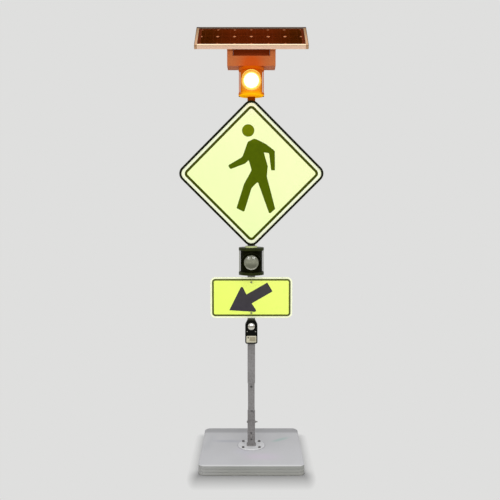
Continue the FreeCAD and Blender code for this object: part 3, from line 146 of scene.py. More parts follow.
class Graph:
    """Short calls for drawing one node tree."""

    def __init__(self, tree: bpy.types.NodeTree) -> None:
        """Keeps the tree that the calls add to."""
        self.tree = tree

    def find(self, kind: str) -> Node:
        """The tree's first node of a type."""
        return next(node for node in self.tree.nodes if node.type == kind)

    def feed(self, socket: Socket, value: Value) -> None:
        """Links a socket to another, or sets it to a plain value.

        Args:
            socket: the input that is fed.
            value: an output socket, a number, a vector or a colour.
        """
        if isinstance(value, Socket):
            self.tree.links.new(value, socket)
        else:
            socket.default_value = value

    def add(self, kind: str, feeds: dict[str | int, Value] | None = None, **settings: object) -> Node:
        """Adds a node.

        Args:
            kind: the node's type, without its ShaderNode prefix.
            feeds: what goes into its inputs, by their names or numbers.
            settings: properties of the node.

        Returns:
            The new node.
        """
        node = self.tree.nodes.new("ShaderNode" + kind)
        for name, value in settings.items():
            setattr(node, name, value)
        for key, value in (feeds or {}).items():
            self.feed(node.inputs[key], value)
        return node

    def use(self, draw: Callable[["Effect"], None], place: Socket,
            **values: Value) -> bpy.types.NodeOutputs:
        """Places a shared effect, which is drawn on its first use.

        Args:
            draw: the function that draws it.
            place: where it is read.
            values: its other inputs by name, with _ for a space.

        Returns:
            Its outputs by name.
        """
        group = bpy.data.node_groups.get(draw.__name__)
        if group is None:
            effect = Effect(draw.__name__)
            draw(effect)
            group = effect.tree
        feeds = {name.replace("_", " "): value for name, value in values.items()}
        return self.add("Group", {"Vector": place, **feeds}, node_tree=group).outputs

    def compute(self, operation: str, *values: Value, clamp: bool = False) -> Socket:
        """Adds a Math node.

        Args:
            operation: its operation.
            values: its inputs in order.
            clamp: keeps the result from 0 to 1.

        Returns:
            The result.
        """
        feeds = dict(enumerate(values))
        return self.add("Math", feeds, operation=operation, use_clamp=clamp).outputs[0]

    def vector(self, operation: str, *values: Value) -> Socket:
        """Adds a Vector Math node.

        Args:
            operation: its operation.
            values: its inputs in order.

        Returns:
            The result: a number for LENGTH and DOT_PRODUCT, and a vector otherwise.
        """
        node = self.add("VectorMath", dict(enumerate(values)), operation=operation)
        return node.outputs["Value" if operation in ("LENGTH", "DOT_PRODUCT") else "Vector"]

    def times(self, vector: Socket, factor: Value) -> Socket:
        """A vector or colour times a number."""
        return self.add("VectorMath", {0: vector, "Scale": factor}, operation="SCALE").outputs["Vector"]

    def absolute(self, value: Socket) -> Socket:
        """A number without its sign."""
        return self.compute("ABSOLUTE", value)

    def over(self, value: Value, level: Value) -> Socket:
        """How far a value is over a level, and 0 below it."""
        return self.compute("MAXIMUM", self.compute("SUBTRACT", value, level), 0.0)

    def varied(self, mask: Socket, low: float, high: float) -> Socket:
        """A value that runs from low to high with a mask from 0 to 1."""
        return self.compute("MULTIPLY_ADD", mask, high - low, low)

    def scaled(self, colour: Socket, mask: Socket, low: float, high: float) -> Socket:
        """A colour times a value that runs from low to high with a mask from 0 to 1."""
        return self.times(colour, self.varied(mask, low, high))

    def masked(self, *masks: Value) -> Socket:
        """Multiplies masks.

        Args:
            masks: two or more masks or plain shares, the first one a mask.

        Returns:
            Their product.
        """
        total = masks[0]
        for mask in masks[1:]:
            total = self.compute("MULTIPLY", total, mask)
        return total

    def turned_into(self, share: Socket, first: Value, second: Value) -> Socket:
        """A number that turns from the first into the second as the share goes from 0 to 1."""
        rest = self.compute("MULTIPLY", self.compute("SUBTRACT", 1.0, share), first)
        return self.compute("MULTIPLY_ADD", share, second, rest)

    def layered(self, colour: Value, *layers: tuple[Value, Value]) -> Socket:
        """Lays colours over one another.

        Args:
            colour: the lowest colour, a socket, a display colour or a linear one with its alpha.
            layers: pairs of a mask and the colour that covers where it is 1, from the lowest up.

        Returns:
            The mixed colour.
        """
        for share, cover in layers:
            pair = [linear(c) if isinstance(c, tuple) and len(c) == 3 else c for c in (colour, cover)]
            colour = self.add("Mix", {0: share, 6: pair[0], 7: pair[1]}, data_type="RGBA").outputs[2]
        return colour

    def step(self, value: Value, low: float, high: float) -> Socket:
        """A smooth step: 0 at low, 1 at high, and level outside them.

        Args:
            value: what is measured.
            low: where the step starts.
            high: where it ends, above or below low.

        Returns:
            The step's value.
        """
        flip = low > high
        feeds = {"Value": value, "From Min": min(low, high), "From Max": max(low, high),
                 "To Min": float(flip), "To Max": float(not flip)}
        return self.add("MapRange", feeds, interpolation_type="SMOOTHSTEP").outputs["Result"]

    def noise(self, place: Socket, scale: Value, detail: float = 2.0) -> Socket:
        """Adds a noise.

        Args:
            place: where it is read.
            scale: its waves to a metre.
            detail: its octaves.

        Returns:
            The noise, about 0.5 on the average.
        """
        feeds = {"Vector": place, "Scale": scale, "Detail": detail}
        return self.add("TexNoise", feeds).outputs["Fac"]

    def flakes(self, place: Socket, scale: float) -> Socket:
        """A mosaic of flakes, each with a value of its own from 0 to 1."""
        return self.parts(self.add("TexVoronoi", {"Vector": place, "Scale": scale}).outputs["Color"])[0]

    def normal(self) -> Socket:
        """The surface's own normal."""
        return self.add("NewGeometry").outputs["Normal"]

    def rounded(self, radius: float) -> Socket:
        """The normal of edges rounded off by a small radius."""
        return self.add("Bevel", {"Radius": radius}, samples=4).outputs["Normal"]

    def relief(self, height: Socket, depth: float, base: Socket | None = None) -> Socket:
        """A normal with a relief.

        Args:
            height: the relief, from 0 to 1.
            depth: its depth in metres.
            base: the normal that the relief lies on, if it isn't the surface's own.

        Returns:
            The normal.
        """
        under = {} if base is None else {"Normal": base}
        return self.add("Bump", {"Height": height, "Distance": depth, **under}).outputs["Normal"]

    def parts(self, vector: Socket) -> tuple[Socket, Socket, Socket]:
        """The x, y and z of a vector."""
        return tuple(self.add("SeparateXYZ", {0: vector}).outputs)

    def join(self, x: Value, y: Value, z: Value) -> Socket:
        """The vector of an x, a y and a z."""
        return self.add("CombineXYZ", {0: x, 1: y, 2: z}).outputs[0]

    def turned(self, vector: Socket, axis: str, angle: float) -> Socket:
        """A vector turned about X_AXIS or Y_AXIS by an angle in radians."""
        return self.add("VectorRotate", {"Vector": vector, "Angle": angle}, rotation_type=axis).outputs[0]


class Effect(Graph):
    """A shader group under construction, with named inputs and outputs."""

    def __init__(self, name: str) -> None:
        """Starts an empty group.

        Args:
            name: its name.
        """
        super().__init__(bpy.data.node_groups.new(name, "ShaderNodeTree"))
        self.entry = self.tree.nodes.new("NodeGroupInput")
        self.exit = self.tree.nodes.new("NodeGroupOutput")

    def takes(self, name: str, value: float | Place = (0.0, 0.0, 0.0)) -> Socket:
        """Adds an input.

        Args:
            name: its name.
            value: what it is when nothing feeds it, a number or a vector.

        Returns:
            The socket inside the group.
        """
        kind = "NodeSocketFloat" if isinstance(value, float) else "NodeSocketVector"
        self.tree.interface.new_socket(name, in_out="INPUT", socket_type=kind).default_value = value
        return self.entry.outputs[name]

    def gives(self, **values: Socket) -> None:
        """Adds the group's outputs, which are all numbers.

        Args:
            values: the sockets inside the group that they show, by name.
        """
        for name, value in values.items():
            self.tree.interface.new_socket(name, in_out="OUTPUT", socket_type="NodeSocketFloat")
            self.feed(self.exit.inputs[name], value)


def grain(effect: Effect) -> None:
    """Fine grain and broad clouds.

    Formula: two noises read at the place times a stretch, the fine one over the broad one.

    Args:
        effect: the empty group.
    """
    place = effect.takes("Vector")
    stretched = effect.vector("MULTIPLY", place, effect.takes("Stretch", (1.0, 1.0, 1.0)))
    fine = effect.noise(stretched, effect.takes("Fine Scale", 600.0))
    broad = effect.noise(place, effect.takes("Broad Scale", 6.0), 4.0)
    height = effect.compute("MULTIPLY_ADD", broad, 0.4, fine)
    effect.gives(Fine=fine, Broad=effect.step(broad, 0.3, 0.7), Height=height)


def edge_wear_and_sheen(effect: Effect) -> None:
    """A mask of lighter edges, which are wear and partly a painted highlight.

    Formula: 1 less the dot product of the true normal and the rounded one, broken up by a noise.

    Args:
        effect: the empty group.
    """
    place = effect.takes("Vector")
    agreement = effect.vector("DOT_PRODUCT", effect.normal(), effect.takes("Rounded"))
    turn = effect.compute("SUBTRACT", 1.0, agreement)
    breakup = effect.step(effect.noise(place, 90.0, 3.0), 0.35, 0.65)
    effect.gives(Mask=effect.masked(effect.step(turn, 0.02, 0.12), breakup))


def dust(effect: Effect) -> None:
    """A mask of dust that lies on faces that look up.

    Formula: a step of the normal's z, times clouds of noise.

    Args:
        effect: the empty group.
    """
    _, _, up = effect.parts(effect.normal())
    clouds = effect.step(effect.noise(effect.takes("Vector"), 14.0, 5.0), 0.3, 0.75)
    effect.gives(Mask=effect.masked(effect.step(up, 0.4, 0.95), clouds))


def lamp_halo(effect: Effect) -> None:
    """Lamplight in the front of a housing.

    Formula: r is the distance from the lamp's axis in the XZ plane. The halo is exp(-(r / reach)
    squared), times a step that keeps it in front. Rise is the height above the axis over the reach.

    Args:
        effect: the empty group.
    """
    reach = effect.takes("Reach", 0.1)
    x, y, z = effect.parts(effect.vector("SUBTRACT", effect.takes("Vector"), effect.takes("Centre")))
    radius = effect.vector("LENGTH", effect.join(x, 0.0, z))
    square = effect.compute("POWER", effect.compute("DIVIDE", radius, reach), 2.0)
    fall = effect.compute("EXPONENT", effect.masked(square, -1.0))
    ahead = effect.step(y, 0.13, 0.02)
    rise = effect.compute("DIVIDE", z, reach)
    effect.gives(Halo=effect.masked(fall, ahead), Radius=radius, Rise=rise, Ahead=ahead)


def plate_margin(effect: Effect) -> None:
    """Distance outside a rounded rectangle in the XZ plane.

    Formula: q is |place| less half the sides plus the corner radius. The distance is the length of
    max(q, 0) less the corner radius.

    Args:
        effect: the empty group.
    """
    corner = effect.takes("Corner", 0.02)
    x, _, z = effect.parts(effect.vector("ABSOLUTE", effect.takes("Vector")))
    core = effect.vector("SUBTRACT", effect.takes("Half"), effect.join(corner, 0.0, corner))
    past = effect.vector("SUBTRACT", effect.join(x, 0.0, z), core)
    length = effect.vector("LENGTH", effect.vector("MAXIMUM", past, (0.0, 0.0, 0.0)))
    effect.gives(Distance=effect.compute("SUBTRACT", length, corner))


def prism_cells(effect: Effect) -> None:
    """The honeycomb of retroreflective film.

    Formula: the sum of three cosines whose directions are 60 degrees apart in the XZ plane.

    Args:
        effect: the empty group.
    """
    place = effect.takes("Vector")
    pitch = effect.takes("Pitch", FILM_CELL_PITCH)
    total = 0.0
    for angle in (0.0, 60.0, 120.0):
        turn = math.radians(angle)
        along = effect.vector("DOT_PRODUCT", place, (math.cos(turn), 0.0, math.sin(turn)))
        phase = effect.masked(effect.compute("DIVIDE", along, pitch), math.tau)
        total = effect.compute("ADD", total, effect.compute("COSINE", phase))
    effect.gives(Cells=effect.step(total, -1.5, 1.2))


class Paint(Graph):
    """A material under construction: its tree, its shader and the places on the surface."""

    def __init__(self, name: str) -> None:
        """Starts a material that is read at Object coordinates, which are the sign's own.

        Args:
            name: its name.
        """
        self.material = bpy.data.materials.new(name)
        self.material.use_nodes = True
        super().__init__(self.material.node_tree)
        self.shader = self.find("BSDF_PRINCIPLED")
        self.place = self.add("TexCoord").outputs["Object"]

    def put(self, **values: Value) -> None:
        """Feeds the shader's inputs.

        Args:
            values: what goes into them by name, with _ for a space.
        """
        for name, value in values.items():
            self.feed(self.shader.inputs[name.replace("_", " ")], value)

    def shared(self, draw: Callable[[Effect], None], **values: Value) -> bpy.types.NodeOutputs:
        """Places a shared effect that reads the place on the surface.

        Args:
            draw: the function that draws it.
            values: its other inputs by name, with _ for a space.

        Returns:
            Its outputs by name.
        """
        return self.use(draw, self.place, **values)

    def film_cells(self) -> Socket:
        """The prism cells of the sign film."""
        return self.shared(prism_cells, Pitch=FILM_CELL_PITCH)["Cells"]

    def sheen_and_wear(self, colour: Socket, rubbed_and_highlit: Rgb, share: float, rounding: float) -> tuple[Socket, Socket]:
        """Rounds the edges and lightens them, as wear and partly as a painted highlight.

        Args:
            colour: the colour away from the edges.
            rubbed_and_highlit: the colour of the lighter edges, wear and partly a painted highlight.
            share: how strongly they show.
            rounding: the radius of the edges in metres.

        Returns:
            The colour, and the normal with the rounded edges.
        """
        rounded = self.rounded(rounding)
        edges = self.shared(edge_wear_and_sheen, Rounded=rounded)["Mask"]
        return self.layered(colour, (self.masked(edges, share), rubbed_and_highlit)), rounded

    def shine(self, colour: Socket, share: Socket) -> None:
        """Gives the surface light of its own, its colour times a share that varies."""
        self.put(Emission_Color=self.times(colour, share), Emission_Strength=1.0)


@dataclass(frozen=True)
class Finish:
    """A finish of the sign, named after a material slot or after the part of one that it dresses."""

    slot: str

    def draw(self, paint: Paint) -> None:
        """Draws the nodes that feed the shader.

        Args:
            paint: the new material.
        """
        raise NotImplementedError

    def material(self) -> bpy.types.Material:
        """Gives the finish's material, and draws it on its first use.

        Returns:
            The material.
        """
        name = self.slot + "_finish"
        found = bpy.data.materials.get(name)
        if found is None:
            paint = Paint(name)
            self.draw(paint)
            found = paint.material
        return found


@dataclass(frozen=True)
class MouldedFinish(Finish):
    """Moulded plastic or rubber: a pored skin, cloudy colour, lighter edges that are wear and partly a painted
    highlight, and dust.
    """

    colour: Rgb
    shade: Rgb
    rubbed_and_highlit: Rgb
    roughness: float = 0.5
    gloss: float = 0.4
    dustiness: float = 0.25
    pores: float = 900.0
    pore_depth: float = 0.00008
    rounding: float = 0.0008
    dust_colour: Rgb = (176, 172, 164)

    def draw(self, paint: Paint) -> None:
        """Draws clouds between two colours, edges in a third that is wear and partly a painted highlight, dust,
        pores and a varied gloss.

        Args:
            paint: the new material.
        """
        marks = paint.shared(grain, Fine_Scale=self.pores, Broad_Scale=7.0)
        colour = paint.layered(self.shade, (marks["Broad"], self.colour))
        colour, rounded = paint.sheen_and_wear(colour, self.rubbed_and_highlit, 1.0, self.rounding)
        settled = paint.masked(paint.shared(dust)["Mask"], self.dustiness)
        rough = paint.varied(marks["Fine"], self.roughness - 0.12, self.roughness + 0.12)
        paint.put(Base_Color=paint.layered(colour, (settled, self.dust_colour)),
                  Roughness=paint.compute("MULTIPLY_ADD", settled, 0.3, rough),
                  Specular_IOR_Level=self.gloss,
                  Normal=paint.relief(marks["Height"], self.pore_depth, rounded))


@dataclass(frozen=True)
class Stroke:
    """A soft mark on a flat face: a line with a width, a colour and a strength."""

    start: Spot
    end: Spot
    width: float
    colour: Rgb
    strength: float

    def mask(self, graph: Graph, place: Socket) -> Socket:
        """The mark's mask.

        Formula: a step of the distance from the line, times steps of the place along it at both ends.

        Args:
            graph: the material's tree.
            place: the place that is measured.

        Returns:
            The mask, from 0 to the strength.
        """
        start = Vector((*self.start, 0.0))
        run = Vector((*self.end, 0.0)) - start
        along = run.normalized()
        away = graph.vector("SUBTRACT", place, tuple(start))
        side = graph.absolute(graph.vector("DOT_PRODUCT", away, (-along.y, along.x, 0.0)))
        reach = graph.vector("DOT_PRODUCT", away, tuple(along))
        fade = run.length * 0.35
        first = graph.step(reach, -0.5 * fade, fade)
        last = graph.step(reach, run.length + fade, run.length - fade)
        return graph.masked(graph.step(side, self.width, 0.0), first, last, self.strength)


@dataclass(frozen=True)
class Band:
    """What a metal's surface turns into above a height: its colour, metallic share and own light."""

    level: float
    colour: Rgb
    metallic: float = 0.0
    light: float = 0.0


@dataclass(frozen=True)
class MetalFinish(Finish):
    """Bare or plated metal: clouds of tone, optional zinc spangle and rolling lines, bright edges that are wear
    and partly a painted highlight.
    """

    colour: Rgb
    shade: Rgb
    roughness: float = 0.4
    metallic: float = 0.8
    spangle: float = 0.0
    stretch: Place = (1.0, 1.0, 1.0)
    fine_scale: float = 500.0
    fine_depth: float = 0.00003
    rounding: float = 0.0006
    # Edge colour: wear, and partly a painted highlight.
    edge: Rgb = (236, 236, 232)
    bands: tuple[Band, ...] = ()
    strokes: tuple[Stroke, ...] = ()
    strokes_ahead_of: float = -0.0200
    band_blur: float = 0.002

    def draw(self, paint: Paint) -> None:
        """Draws tone, spangle, lines, edge shine that is wear and partly a painted highlight, the marks on the
        front and the bands.

        Args:
            paint: the new material.
        """
        marks = paint.shared(grain, Stretch=self.stretch, Fine_Scale=self.fine_scale, Broad_Scale=5.0)
        tone = paint.compute("MULTIPLY_ADD", marks["Fine"], 0.6, -0.05)
        tone = paint.compute("MULTIPLY_ADD", marks["Broad"], 0.45, tone, clamp=True)
        if self.spangle:
            facet = paint.compute("SUBTRACT", paint.flakes(paint.place, self.spangle), 0.5)
            tone = paint.compute("MULTIPLY_ADD", facet, 0.5, tone, clamp=True)
        colour = paint.layered(self.shade, (tone, self.colour))
        colour, rounded = paint.sheen_and_wear(colour, self.edge, 0.4, self.rounding)
        if self.strokes:
            x, y, z = paint.parts(paint.place)
            front = paint.step(y, self.strokes_ahead_of, self.strokes_ahead_of - 0.004)
            flat = paint.join(x, z, 0.0)
            colour = paint.layered(colour, *((paint.masked(front, stroke.mask(paint, flat)), stroke.colour)
                                             for stroke in self.strokes))
        if self.bands:
            colour = self.banded(paint, colour)
        else:
            paint.put(Metallic=self.metallic)
        paint.put(Base_Color=colour,
                  Roughness=paint.varied(tone, self.roughness + 0.1, self.roughness - 0.1),
                  Normal=paint.relief(marks["Fine"], self.fine_depth, rounded))

    def banded(self, paint: Paint, colour: Socket) -> Socket:
        """Adds the bands, and sets the metallic share and the light.

        Args:
            paint: the new material.
            colour: the colour below the bands.

        Returns:
            The colour with the bands.
        """
        _, _, z = paint.parts(paint.place)
        metallic = self.metallic
        light = 0.0
        for band in self.bands:
            above = paint.step(z, band.level, band.level + self.band_blur)
            colour = paint.layered(colour, (above, band.colour))
            metallic = paint.turned_into(above, metallic, band.metallic)
            light = paint.turned_into(above, light, band.light)
        paint.put(Metallic=metallic, Specular_IOR_Level=0.0)
        paint.shine(colour, light)
        return colour


@dataclass(frozen=True)
class BallastFinish(Finish):
    """The grey moulded ballast: stippled skin, cloudy tone, marks on the top, painted light and shade, and a
    darker foot.
    """

    flange_shadow_r: float
    # Front and rear tone of the top: painted light that falls off towards the rear; the two are now almost the
    # same.
    front: Rgb = (184, 184, 187)
    rear: Rgb = (184, 184, 186)
    strip: Rgb = (158, 158, 160)
    # Wall colours: painted shade, darker than the top that faces the light, and painted lighter low down and at
    # the left.
    side: Rgb = (152, 153, 149)
    shaded_wall_low: Rgb = (155, 155, 150)
    shaded_wall_left: Rgb = (162, 162, 160)
    # Painted highlight along the front top edge.
    bevel_highlight: Rgb = (196, 196, 197)
    # Painted shadow in a band round the foot of the flange.
    flange_shadow: Rgb = (150, 148, 153)
    speck: Rgb = (140, 138, 136)
    # Darker patches at the foot, towards the floor.
    darker_foot: Rgb = (128, 126, 120)
    # Edge colour: wear, and partly a painted highlight.
    edge: Rgb = (212, 212, 214)
    tone_span: Spot = (-0.36, 0.16)
    strip_span: Spot = (0.245, 0.300)
    bevel_span: Spot = (-0.3690, -0.3715)
    rim_span: Spot = (0.062, 0.066)
    strokes: tuple[Stroke, ...] = (
        Stroke((0.165, 0.073), (0.287, 0.161), 0.034, (152, 178, 172), 0.65),
        Stroke((-0.300, 0.090), (-0.085, 0.082), 0.045, (160, 161, 170), 0.6),
        Stroke((-0.060, -0.215), (0.190, -0.225), 0.110, (192, 182, 195), 0.6),
        Stroke((-0.120, -0.080), (-0.020, -0.160), 0.080, (184, 182, 192), 0.5),
        Stroke((-0.360, -0.120), (-0.300, 0.200), 0.060, (172, 173, 176), 0.6),
    )

    def draw(self, paint: Paint) -> None:
        """Draws the top's tone from front to rear as painted light, the walls in painted shade, the marks, a
        painted shadow round the flange, a painted highlight on the front top edge, the stipple and the darker
        foot.

        Args:
            paint: the new material.
        """
        x, y, z = paint.parts(paint.place)
        _, _, up = paint.parts(paint.normal())
        radius = paint.vector("LENGTH", paint.join(x, y, 0.0))
        # A painted shadow just outside the flange, 12 mm wide.
        flange_shadow = paint.masked(paint.step(radius, self.flange_shadow_r + 0.012, self.flange_shadow_r), 0.7)
        # A painted highlight on the slope of the front top edge.
        bevel_highlight = paint.masked(paint.step(y, *self.bevel_span), paint.step(z, *self.rim_span))
        # The top: painted fall of the light from front to rear, the darker strip, the marks, a painted shadow
        # round the flange and a painted highlight on the front top edge.
        top = paint.layered(self.front,
                            (paint.step(y, *self.tone_span), self.rear),
                            (paint.step(y, *self.strip_span), self.strip),
                            *((stroke.mask(paint, paint.place), stroke.colour) for stroke in self.strokes),
                            (flange_shadow, self.flange_shadow),
                            (bevel_highlight, self.bevel_highlight))
        # The walls in painted shade, painted lighter low down and towards the left.
        side = paint.layered(self.shaded_wall_low,
                             (paint.step(z, 0.010, 0.060), self.side),
                             (paint.step(x, -0.15, -0.38), self.shaded_wall_left))
        wall = paint.compute("MAXIMUM", paint.step(up, 0.7, 0.2), paint.step(z, *reversed(self.rim_span)))
        marks = paint.shared(grain, Fine_Scale=420.0, Broad_Scale=3.2)
        colour = paint.scaled(paint.layered(top, (wall, side)), marks["Broad"], 0.965, 1.02)
        specks = paint.masked(paint.step(paint.noise(paint.place, 260.0, 3.0), 0.62, 0.72), 0.2)
        # Darker in patches at the foot, within 14 mm of the floor.
        darker_foot = paint.masked(paint.step(z, 0.014, 0.0), paint.noise(paint.place, 22.0, 4.0))
        colour = paint.layered(colour, (specks, self.speck), (darker_foot, self.darker_foot))
        # Lighter edges: wear, and partly a painted highlight.
        colour, rounded = paint.sheen_and_wear(colour, self.edge, 0.6, 0.0015)
        paint.put(Base_Color=colour,
                  Roughness=paint.varied(marks["Fine"], 0.5, 0.7),
                  Specular_IOR_Level=0.2,
                  Normal=paint.relief(marks["Height"], 0.0003, rounded))


@dataclass(frozen=True)
class FilmFinish(Finish):
    """Fluorescent retroreflective film: a paler margin, prism cells and a little light of its own."""

    field: Rgb
    field_far: Rgb
    margin: Rgb
    outline: Outline
    centre: Place
    half: Spot
    corner: float
    fluorescence: float = 0.05
    lamp_z: float | None = None
    warm: Rgb = (255, 252, 212)
    warm_span: Spot = (0.17, 0.06)

    def draw(self, paint: Paint) -> None:
        """Draws the field, the margin, the cells and the warm light at the top corner.

        Args:
            paint: the new material.
        """
        away = paint.vector("SUBTRACT", paint.place, self.centre)
        turned = paint.turned(away, "Y_AXIS", math.radians(self.outline.value))
        half = (self.half[0], 0.0, self.half[1])
        distance = paint.use(plate_margin, turned, Half=half, Corner=self.corner)["Distance"]
        x, _, z = paint.parts(away)
        reach = sum(self.half)
        far = paint.step(paint.compute("ADD", x, z), -reach, reach)
        outside = paint.step(distance, -0.0008, 0.0008)
        colour = paint.layered(self.field, (far, self.field_far), (outside, self.margin))
        if self.lamp_z is not None:
            lamp = paint.vector("SUBTRACT", paint.place, (0.0, self.centre[1], self.lamp_z))
            near = paint.step(paint.vector("LENGTH", lamp), *self.warm_span)
            colour = paint.layered(colour, (paint.masked(near, 0.9), self.warm))
        cells = paint.film_cells()
        colour = paint.scaled(colour, cells, 0.96, 1.0)
        colour = paint.scaled(colour, paint.noise(paint.place, 3.0, 3.0), 0.97, 1.03)
        paint.put(Base_Color=colour,
                  Emission_Color=colour,
                  Emission_Strength=self.fluorescence,
                  Roughness=paint.varied(cells, 0.34, 0.48),
                  Specular_IOR_Level=0.1,
                  Normal=paint.relief(cells, 0.00004))


@dataclass(frozen=True)
class LegendFinish(Finish):
    """Transparent dark overlay film: the film below it tints its colour a little."""

    colour: Rgb
    light: Rgb
    light_span: Spot

    def draw(self, paint: Paint) -> None:
        """Draws the colour, lighter with height, with faint cells and blotches.

        Args:
            paint: the new material.
        """
        _, _, z = paint.parts(paint.place)
        cells = paint.film_cells()
        colour = paint.layered(self.colour, (paint.step(z, *self.light_span), self.light))
        colour = paint.scaled(colour, cells, 0.9, 1.02)
        paint.put(Base_Color=paint.scaled(colour, paint.noise(paint.place, 25.0, 3.0), 0.85, 1.15),
                  Roughness=paint.varied(cells, 0.35, 0.45),
                  Specular_IOR_Level=0.02,
                  Normal=paint.relief(cells, 0.00003))


@dataclass(frozen=True)
class AmberFinish(Finish):
    """Orange translucent housing with the lamp on, partly coloured by painted lamplight: redder above, a
    painted yellow glow near the lens, a painted lit visor rim with painted shade inside it, and a glowing foot.
    """

    lens: Place
    body: Rgb = (206, 104, 34)
    above: Rgb = (202, 86, 2)
    below: Rgb = (250, 164, 14)
    near: Rgb = (255, 222, 112)
    rim: Rgb = (255, 232, 112)
    inside: Rgb = (190, 156, 58)
    foot: Rgb = (255, 180, 10)
    glow_r: float = 0.084
    visor_inner_r: float = 0.0692
    middle_span: Spot = (0.088, 0.058)
    foot_span: Spot = (-0.0915, -0.0970)

    def draw(self, paint: Paint) -> None:
        """Draws the housing's colour by its place round the lamp as painted lamplight and shade, and its light,
        a painted glow.

        Args:
            paint: the new material.
        """
        halo = paint.shared(lamp_halo, Centre=self.lens, Reach=LAMP_REACH)
        radius = halo["Radius"]
        ahead = halo["Ahead"]
        x, y, z = paint.parts(paint.vector("SUBTRACT", paint.place, self.lens))
        # Painted lamplight: yellow below the lens and redder above it, across the middle of the front.
        height = paint.layered(self.below, (paint.step(halo["Rise"], -1.05, 0.5), self.above))
        middle = paint.step(paint.absolute(x), *self.middle_span)
        # A painted glow near the lens.
        warm = paint.step(radius, self.glow_r, LENS_R)
        facing = paint.step(paint.vector("DOT_PRODUCT", paint.normal(), FORWARD), 0.35, 0.75)
        # The visor: its front rim painted lit, its inside painted in shade.
        visor = paint.masked(paint.step(y, -0.012, -0.016), paint.step(z, -0.02, 0.02))
        within = paint.step(radius, self.visor_inner_r + 0.002, self.visor_inner_r + 0.0008)
        # The foot painted yellow in the lamp's light, and glowing.
        foot = paint.step(z, *self.foot_span)
        colour = paint.layered(self.body,
                               (paint.masked(middle, ahead), height),
                               (paint.masked(warm, ahead), self.near),
                               (paint.masked(within, visor), self.inside),
                               (paint.masked(facing, visor), self.rim),
                               (foot, self.foot))
        marks = paint.shared(grain, Fine_Scale=700.0, Broad_Scale=9.0)
        colour = paint.scaled(colour, marks["Broad"], 0.95, 1.03)
        # The housing gives off light, a painted glow, most at the front and the foot.
        paint.shine(colour, paint.compute("MULTIPLY_ADD", foot, 0.25, paint.varied(ahead, 0.04, 0.16)))
        paint.put(Base_Color=colour,
                  Roughness=paint.varied(marks["Fine"], 0.3, 0.5),
                  Specular_IOR_Level=0.0,
                  Normal=paint.relief(marks["Fine"], 0.00005, paint.rounded(0.001)))


@dataclass(frozen=True)
class HousingFinish(Finish):
    """Sheet metal of the power box and panel stand in orange paint, its orange partly painted lamplight, lit
    from below by the lamp as a painted glow.
    """

    lamp: Place
    colour: Rgb = (198, 112, 60)
    shade: Rgb = (186, 104, 52)
    glow: Rgb = (204, 82, 4)
    # The hollow between the cheeks: painted shade, lighter and redder low down where the lamp's glow is
    # painted.
    recess_shade: Rgb = (150, 56, 14)
    recess_shade_low: Rgb = (172, 66, 16)
    rubbed_and_highlit: Rgb = (226, 170, 128)
    dust_colour: Rgb = (190, 150, 116)
    lid_top: float = 3.0117
    recess_front: Spot = (0.030, 0.050)
    recess_rear: Spot = (0.0786, 0.0780)
    recess_side: Spot = (0.1365, 0.1360)

    def draw(self, paint: Paint) -> None:
        """Draws the paint, the lamp's light on its front as a painted glow, and the dark closing panel behind
        in painted shade with a little painted light of its own.

        Args:
            paint: the new material.
        """
        x, y, z = paint.parts(paint.place)
        marks = paint.shared(grain, Fine_Scale=800.0, Broad_Scale=6.0)
        halo = paint.shared(lamp_halo, Centre=self.lamp, Reach=LAMP_REACH)
        glow = paint.compute("MULTIPLY", halo["Halo"], 1.3, clamp=True)
        behind = paint.masked(paint.step(y, *self.recess_front),
                              paint.step(y, *self.recess_rear),
                              paint.step(paint.absolute(x), *self.recess_side),
                              paint.step(z, self.lid_top - 0.0007, self.lid_top + 0.0005))
        low = paint.step(z, self.lid_top + 0.09, self.lid_top + 0.01)
        colour = paint.layered(self.shade,
                               (marks["Broad"], self.colour),
                               (glow, self.glow),
                               (behind, paint.layered(self.recess_shade, (low, self.recess_shade_low))))
        # Lighter edges: wear, and partly a painted highlight.
        colour, rounded = paint.sheen_and_wear(colour, self.rubbed_and_highlit, 0.35, 0.0012)
        settled = paint.masked(paint.shared(dust)["Mask"], 0.2)
        colour = paint.layered(colour, (settled, self.dust_colour))
        # Painted light of its own: some in the hollow's shade, and a faint glow where the lamp lights the
        # front.
        paint.shine(colour, paint.compute("MULTIPLY_ADD", behind, 0.22, paint.masked(glow, 0.04)))
        paint.put(Base_Color=colour,
                  Roughness=paint.varied(marks["Fine"], 0.45, 0.65),
                  Specular_IOR_Level=0.12,
                  Normal=paint.relief(marks["Fine"], 0.00005, rounded))


@dataclass(frozen=True)
class GlassFinish(Finish):
    """Clear flat glass whose coating throws nothing back: its index is 1 and it hardly covers."""

    roughness: float = 0.05
    index: float = 1.0
    cover: float = 0.05
    tint: Rgb = (232, 222, 214)

    def draw(self, paint: Paint) -> None:
        """Draws plain transmission with a faint unevenness of its gloss.

        Args:
            paint: the new material.
        """
        film = paint.noise(paint.place, 30.0, 3.0)
        paint.put(Base_Color=linear(self.tint),
                  Transmission_Weight=1.0,
                  IOR=self.index,
                  Alpha=self.cover,
                  Roughness=paint.varied(film, self.roughness, self.roughness + 0.04))


